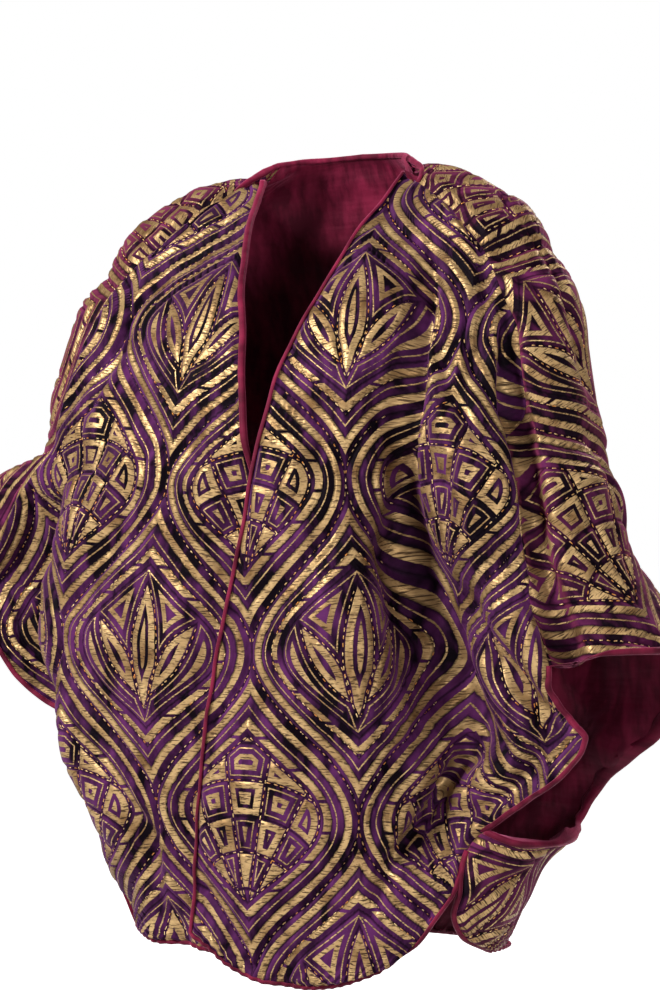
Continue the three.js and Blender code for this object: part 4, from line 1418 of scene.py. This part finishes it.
def roll_axes(cloth, row, column):
    """The points of an edge, the way out of the sheet at each, and the normal. The way out
    is the step from the cloth inside, less its parts along the normal and the edge."""
    rows, columns = cloth.points.shape[:2]
    edge, normal = cloth.points[row, column], cloth.normal[row, column]
    inside = cloth.points[np.clip(row, CELLS_IN, rows - 1 - CELLS_IN),
                          np.clip(column, CELLS_IN, columns - 1 - CELLS_IN)]
    tangent = unit(np.gradient(edge, axis=0))
    out = edge - inside
    out = out - normal * (out * normal).sum(1, keepdims=True)
    out = out - tangent * (out * tangent).sum(1, keepdims=True)
    return edge, unit(smoothed(unit(out), AXIS_BLENDS)), normal


# %% The roll itself
def wave_and_pleats(count):
    """Two uneven runs along a roll. The wave is a sum of two sines of the ring's number,
    and the pleats are one sine whose phase wanders."""
    ring = np.arange(count)
    wave = 0.2 * np.sin(ring * 0.9) + 0.3 * np.sin(ring * 0.37 + 2)
    return wave, np.sin(ring * 1.15 + 2.5 * np.sin(ring * 0.11))


def rolled_edge(cloth, edges, inside_cells):
    """One closed roll along several edges in a row: each ring is the section placed at a
    point of the edge, with its tips further in by the width on the face. Where there are
    inside cells, four points of the ring follow the lining that far in."""
    row, column, wide = roll_path(cloth, edges)
    edge, out, normal = roll_axes(cloth, row, column)
    wave, pleat = wave_and_pleats(len(row))
    across = np.repeat(ROLL_SECTION[None, :, 0], len(row), 0)
    up = np.repeat(ROLL_SECTION[None, :, 1], len(row), 0) * (1 + 0.12 * wave[:, None])
    across[:, TOP_POINT] -= TOP_SHARE * wide
    for k in FACE_POINTS:
        across[:, k] -= wide + 0.4 * wave
    rings = edge[:, None] + out[:, None] * across[..., None] + normal[:, None] * up[..., None]
    rows, columns = cloth.points.shape[:2]
    for k, reach, depth in STRIP if inside_cells else ():
        cells = (inside_cells * (reach + PLEAT_REACH * pleat * reach)).round().astype(int)
        place = (np.clip(row, cells, rows - 1 - cells), np.clip(column, cells, columns - 1 - cells))
        deep = (depth + PLEAT_HIGH * pleat * reach)[:, None]
        rings[:, k] = cloth.points[place] - cloth.normal[place] * deep
    return rings, np.repeat(cloth.flat[row, column][:, None], len(ROLL_SECTION), 1)


def tube_faces(rings, start):
    """Faces between neighbouring rings, and a fan over each end."""
    count, around = rings.shape[:2]
    first_of_ring = np.arange(count - 1)[:, None] * around
    a = (first_of_ring + np.arange(around)).ravel() + start
    b = (first_of_ring + (np.arange(around) + 1) % around).ravel() + start
    quads = np.stack([a, b, b + around, a + around], 1)
    k = np.arange(1, around - 1)
    first, last = start, start + (count - 1) * around
    caps = np.concatenate([np.stack([0 * k + first, first + k + 1, first + k], 1),
                           np.stack([0 * k + last, last + k, last + k + 1], 1)])
    return quads, caps


# %% The rolls of each piece
def front_rolls(edge_width, cuff_width, cuff_cells):
    """A front's rolls: front edge, hem and vent in one, and the cuff."""
    outline = [("front", "start", False, edge_width), ("hem", "start", False, 0.0),
               ("vent", "end", True, 0.0)]
    return [(outline, 0), ([("cuff", "end", False, cuff_width)], cuff_cells)]


BACK_OUTLINE = [("vent", "start", False, 0.0), ("hem", "start", False, 0.0), ("vent", "end", True, 0.0)]
# for each roll its edges in order, as kind, side, whether it runs backwards and its width
# on the face in mm, and the cells that its strip inside reaches in, or 0 for no strip
ROLLS = {
    "front_left": front_rolls(0.0, 0.6, 6),
    "front_right": front_rolls(1.6, 0.4, 5),
    "back": [([("neck", "start", False, 0.5)], 0), ([("cuff", "start", False, 1.5)], 8),
             ([("cuff", "end", False, 0.4)], 7), (BACK_OUTLINE, 0)],
}
print("rolls:", sum(len(rolls) for rolls in ROLLS.values()))

# %% Linings with their rolled edges
for name, cloth in velvet.items():
    top = VELVET_WALL + LINING_GAP
    points, quads, places = lining_wall(cloth.under(top + LINING_WALL), cloth.under(top),
                                        cloth.flat[::2, ::2], not cloth.flip)
    triangles = np.zeros((0, 3), int)
    for edges, inside_cells in ROLLS[name]:
        rings, ring_places = rolled_edge(cloth, edges, inside_cells)
        tube_quads, caps = tube_faces(rings, len(points))
        quads = np.concatenate([quads, tube_quads])
        triangles = np.concatenate([triangles, caps])
        points = np.concatenate([points, rings.reshape(-1, 3)])
        places = np.concatenate([places, ring_places.reshape(-1, 2)])
    piece = new_piece(f"lining_{name}_velvet", points, quads, triangles, places, lining_material)
    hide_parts("lining_" + name)
    (width, length), area = flat_size[name]
    print(piece.name, 2 * len(quads) + len(triangles), "triangles")

# %% [markdown]
# ## Ground and light
# The jacket stands in a studio, on plain pale ground. The ground here glows by itself
# like a light table, so that it is as even as the backdrop behind it, and that glow is
# kept for the picture alone. The key light stands on the left and models the folds. Two
# weak ones on the right open the shadows under the sleeve, and one from behind lights
# the lining inside the neck.

# %% Floor, light and surroundings
FLOOR_Z, FLOOR_HALF = -1.3, 30.0
floor_mesh = bpy.data.meshes.new("floor")
corners = [(x * FLOOR_HALF, y * FLOOR_HALF, FLOOR_Z) for x, y in ((-1, -1), (1, -1), (1, 1), (-1, 1))]
floor_mesh.from_pydata(corners, [], [(0, 1, 2, 3)])
floor_mesh.materials.append(floor_material)
floor = bpy.data.objects.new("floor", floor_mesh)
floor.visible_diffuse = False  # its glow is for the picture alone
bpy.context.scene.collection.objects.link(floor)
BACKDROP_BRIGHT, ROOM_BRIGHT = 1.0, 0.08
world = bpy.data.worlds.new("studio")
world.use_nodes = True
tree = world.node_tree
rays = tree.nodes.new("ShaderNodeLightPath")
bright = choose(BACKDROP_BRIGHT, ROOM_BRIGHT, Wire(tree, rays.outputs["Is Camera Ray"]))
tree.links.new(bright.socket, tree.nodes["Background"].inputs["Strength"])
tree.nodes["Background"].inputs["Color"].default_value = (1, 1, 1, 1)
bpy.context.scene.world = world
bpy.context.scene.view_settings.view_transform = "Standard"


def soft_light(name, place, aim, size, power):
    """A square area light that faces a point."""
    data = bpy.data.lights.new(name, "AREA")
    data.size, data.energy = size, power
    light = bpy.data.objects.new(name, data)
    light.location = place
    facing = np.array(aim) - np.array(place)
    flat_length = float(np.hypot(facing[0], facing[1]))
    light.rotation_euler = (float(np.arctan2(flat_length, -facing[2])), 0.0,
                            float(np.arctan2(-facing[0], facing[1])))
    bpy.context.scene.collection.objects.link(light)


MIDDLE, LEFT_CUFF = (0.0, 0.0, -0.4), (0.3, 0.0, -0.6)
# name, place, aim, size in metres and power in watts
LIGHTS = [
    ("key", (-1.4, -2.4, 1.3), MIDDLE, 0.7, 128),
    ("side", (2.7, -0.7, 1.1), MIDDLE, 1.0, 20),
    ("low", (2.5, -2.4, -0.3), LEFT_CUFF, 0.6, 30),
    ("back", (0.9, 2.4, 1.8), MIDDLE, 1.4, 75),
]
for light_row in LIGHTS:
    soft_light(*light_row)
print(len(LIGHTS), "lights")
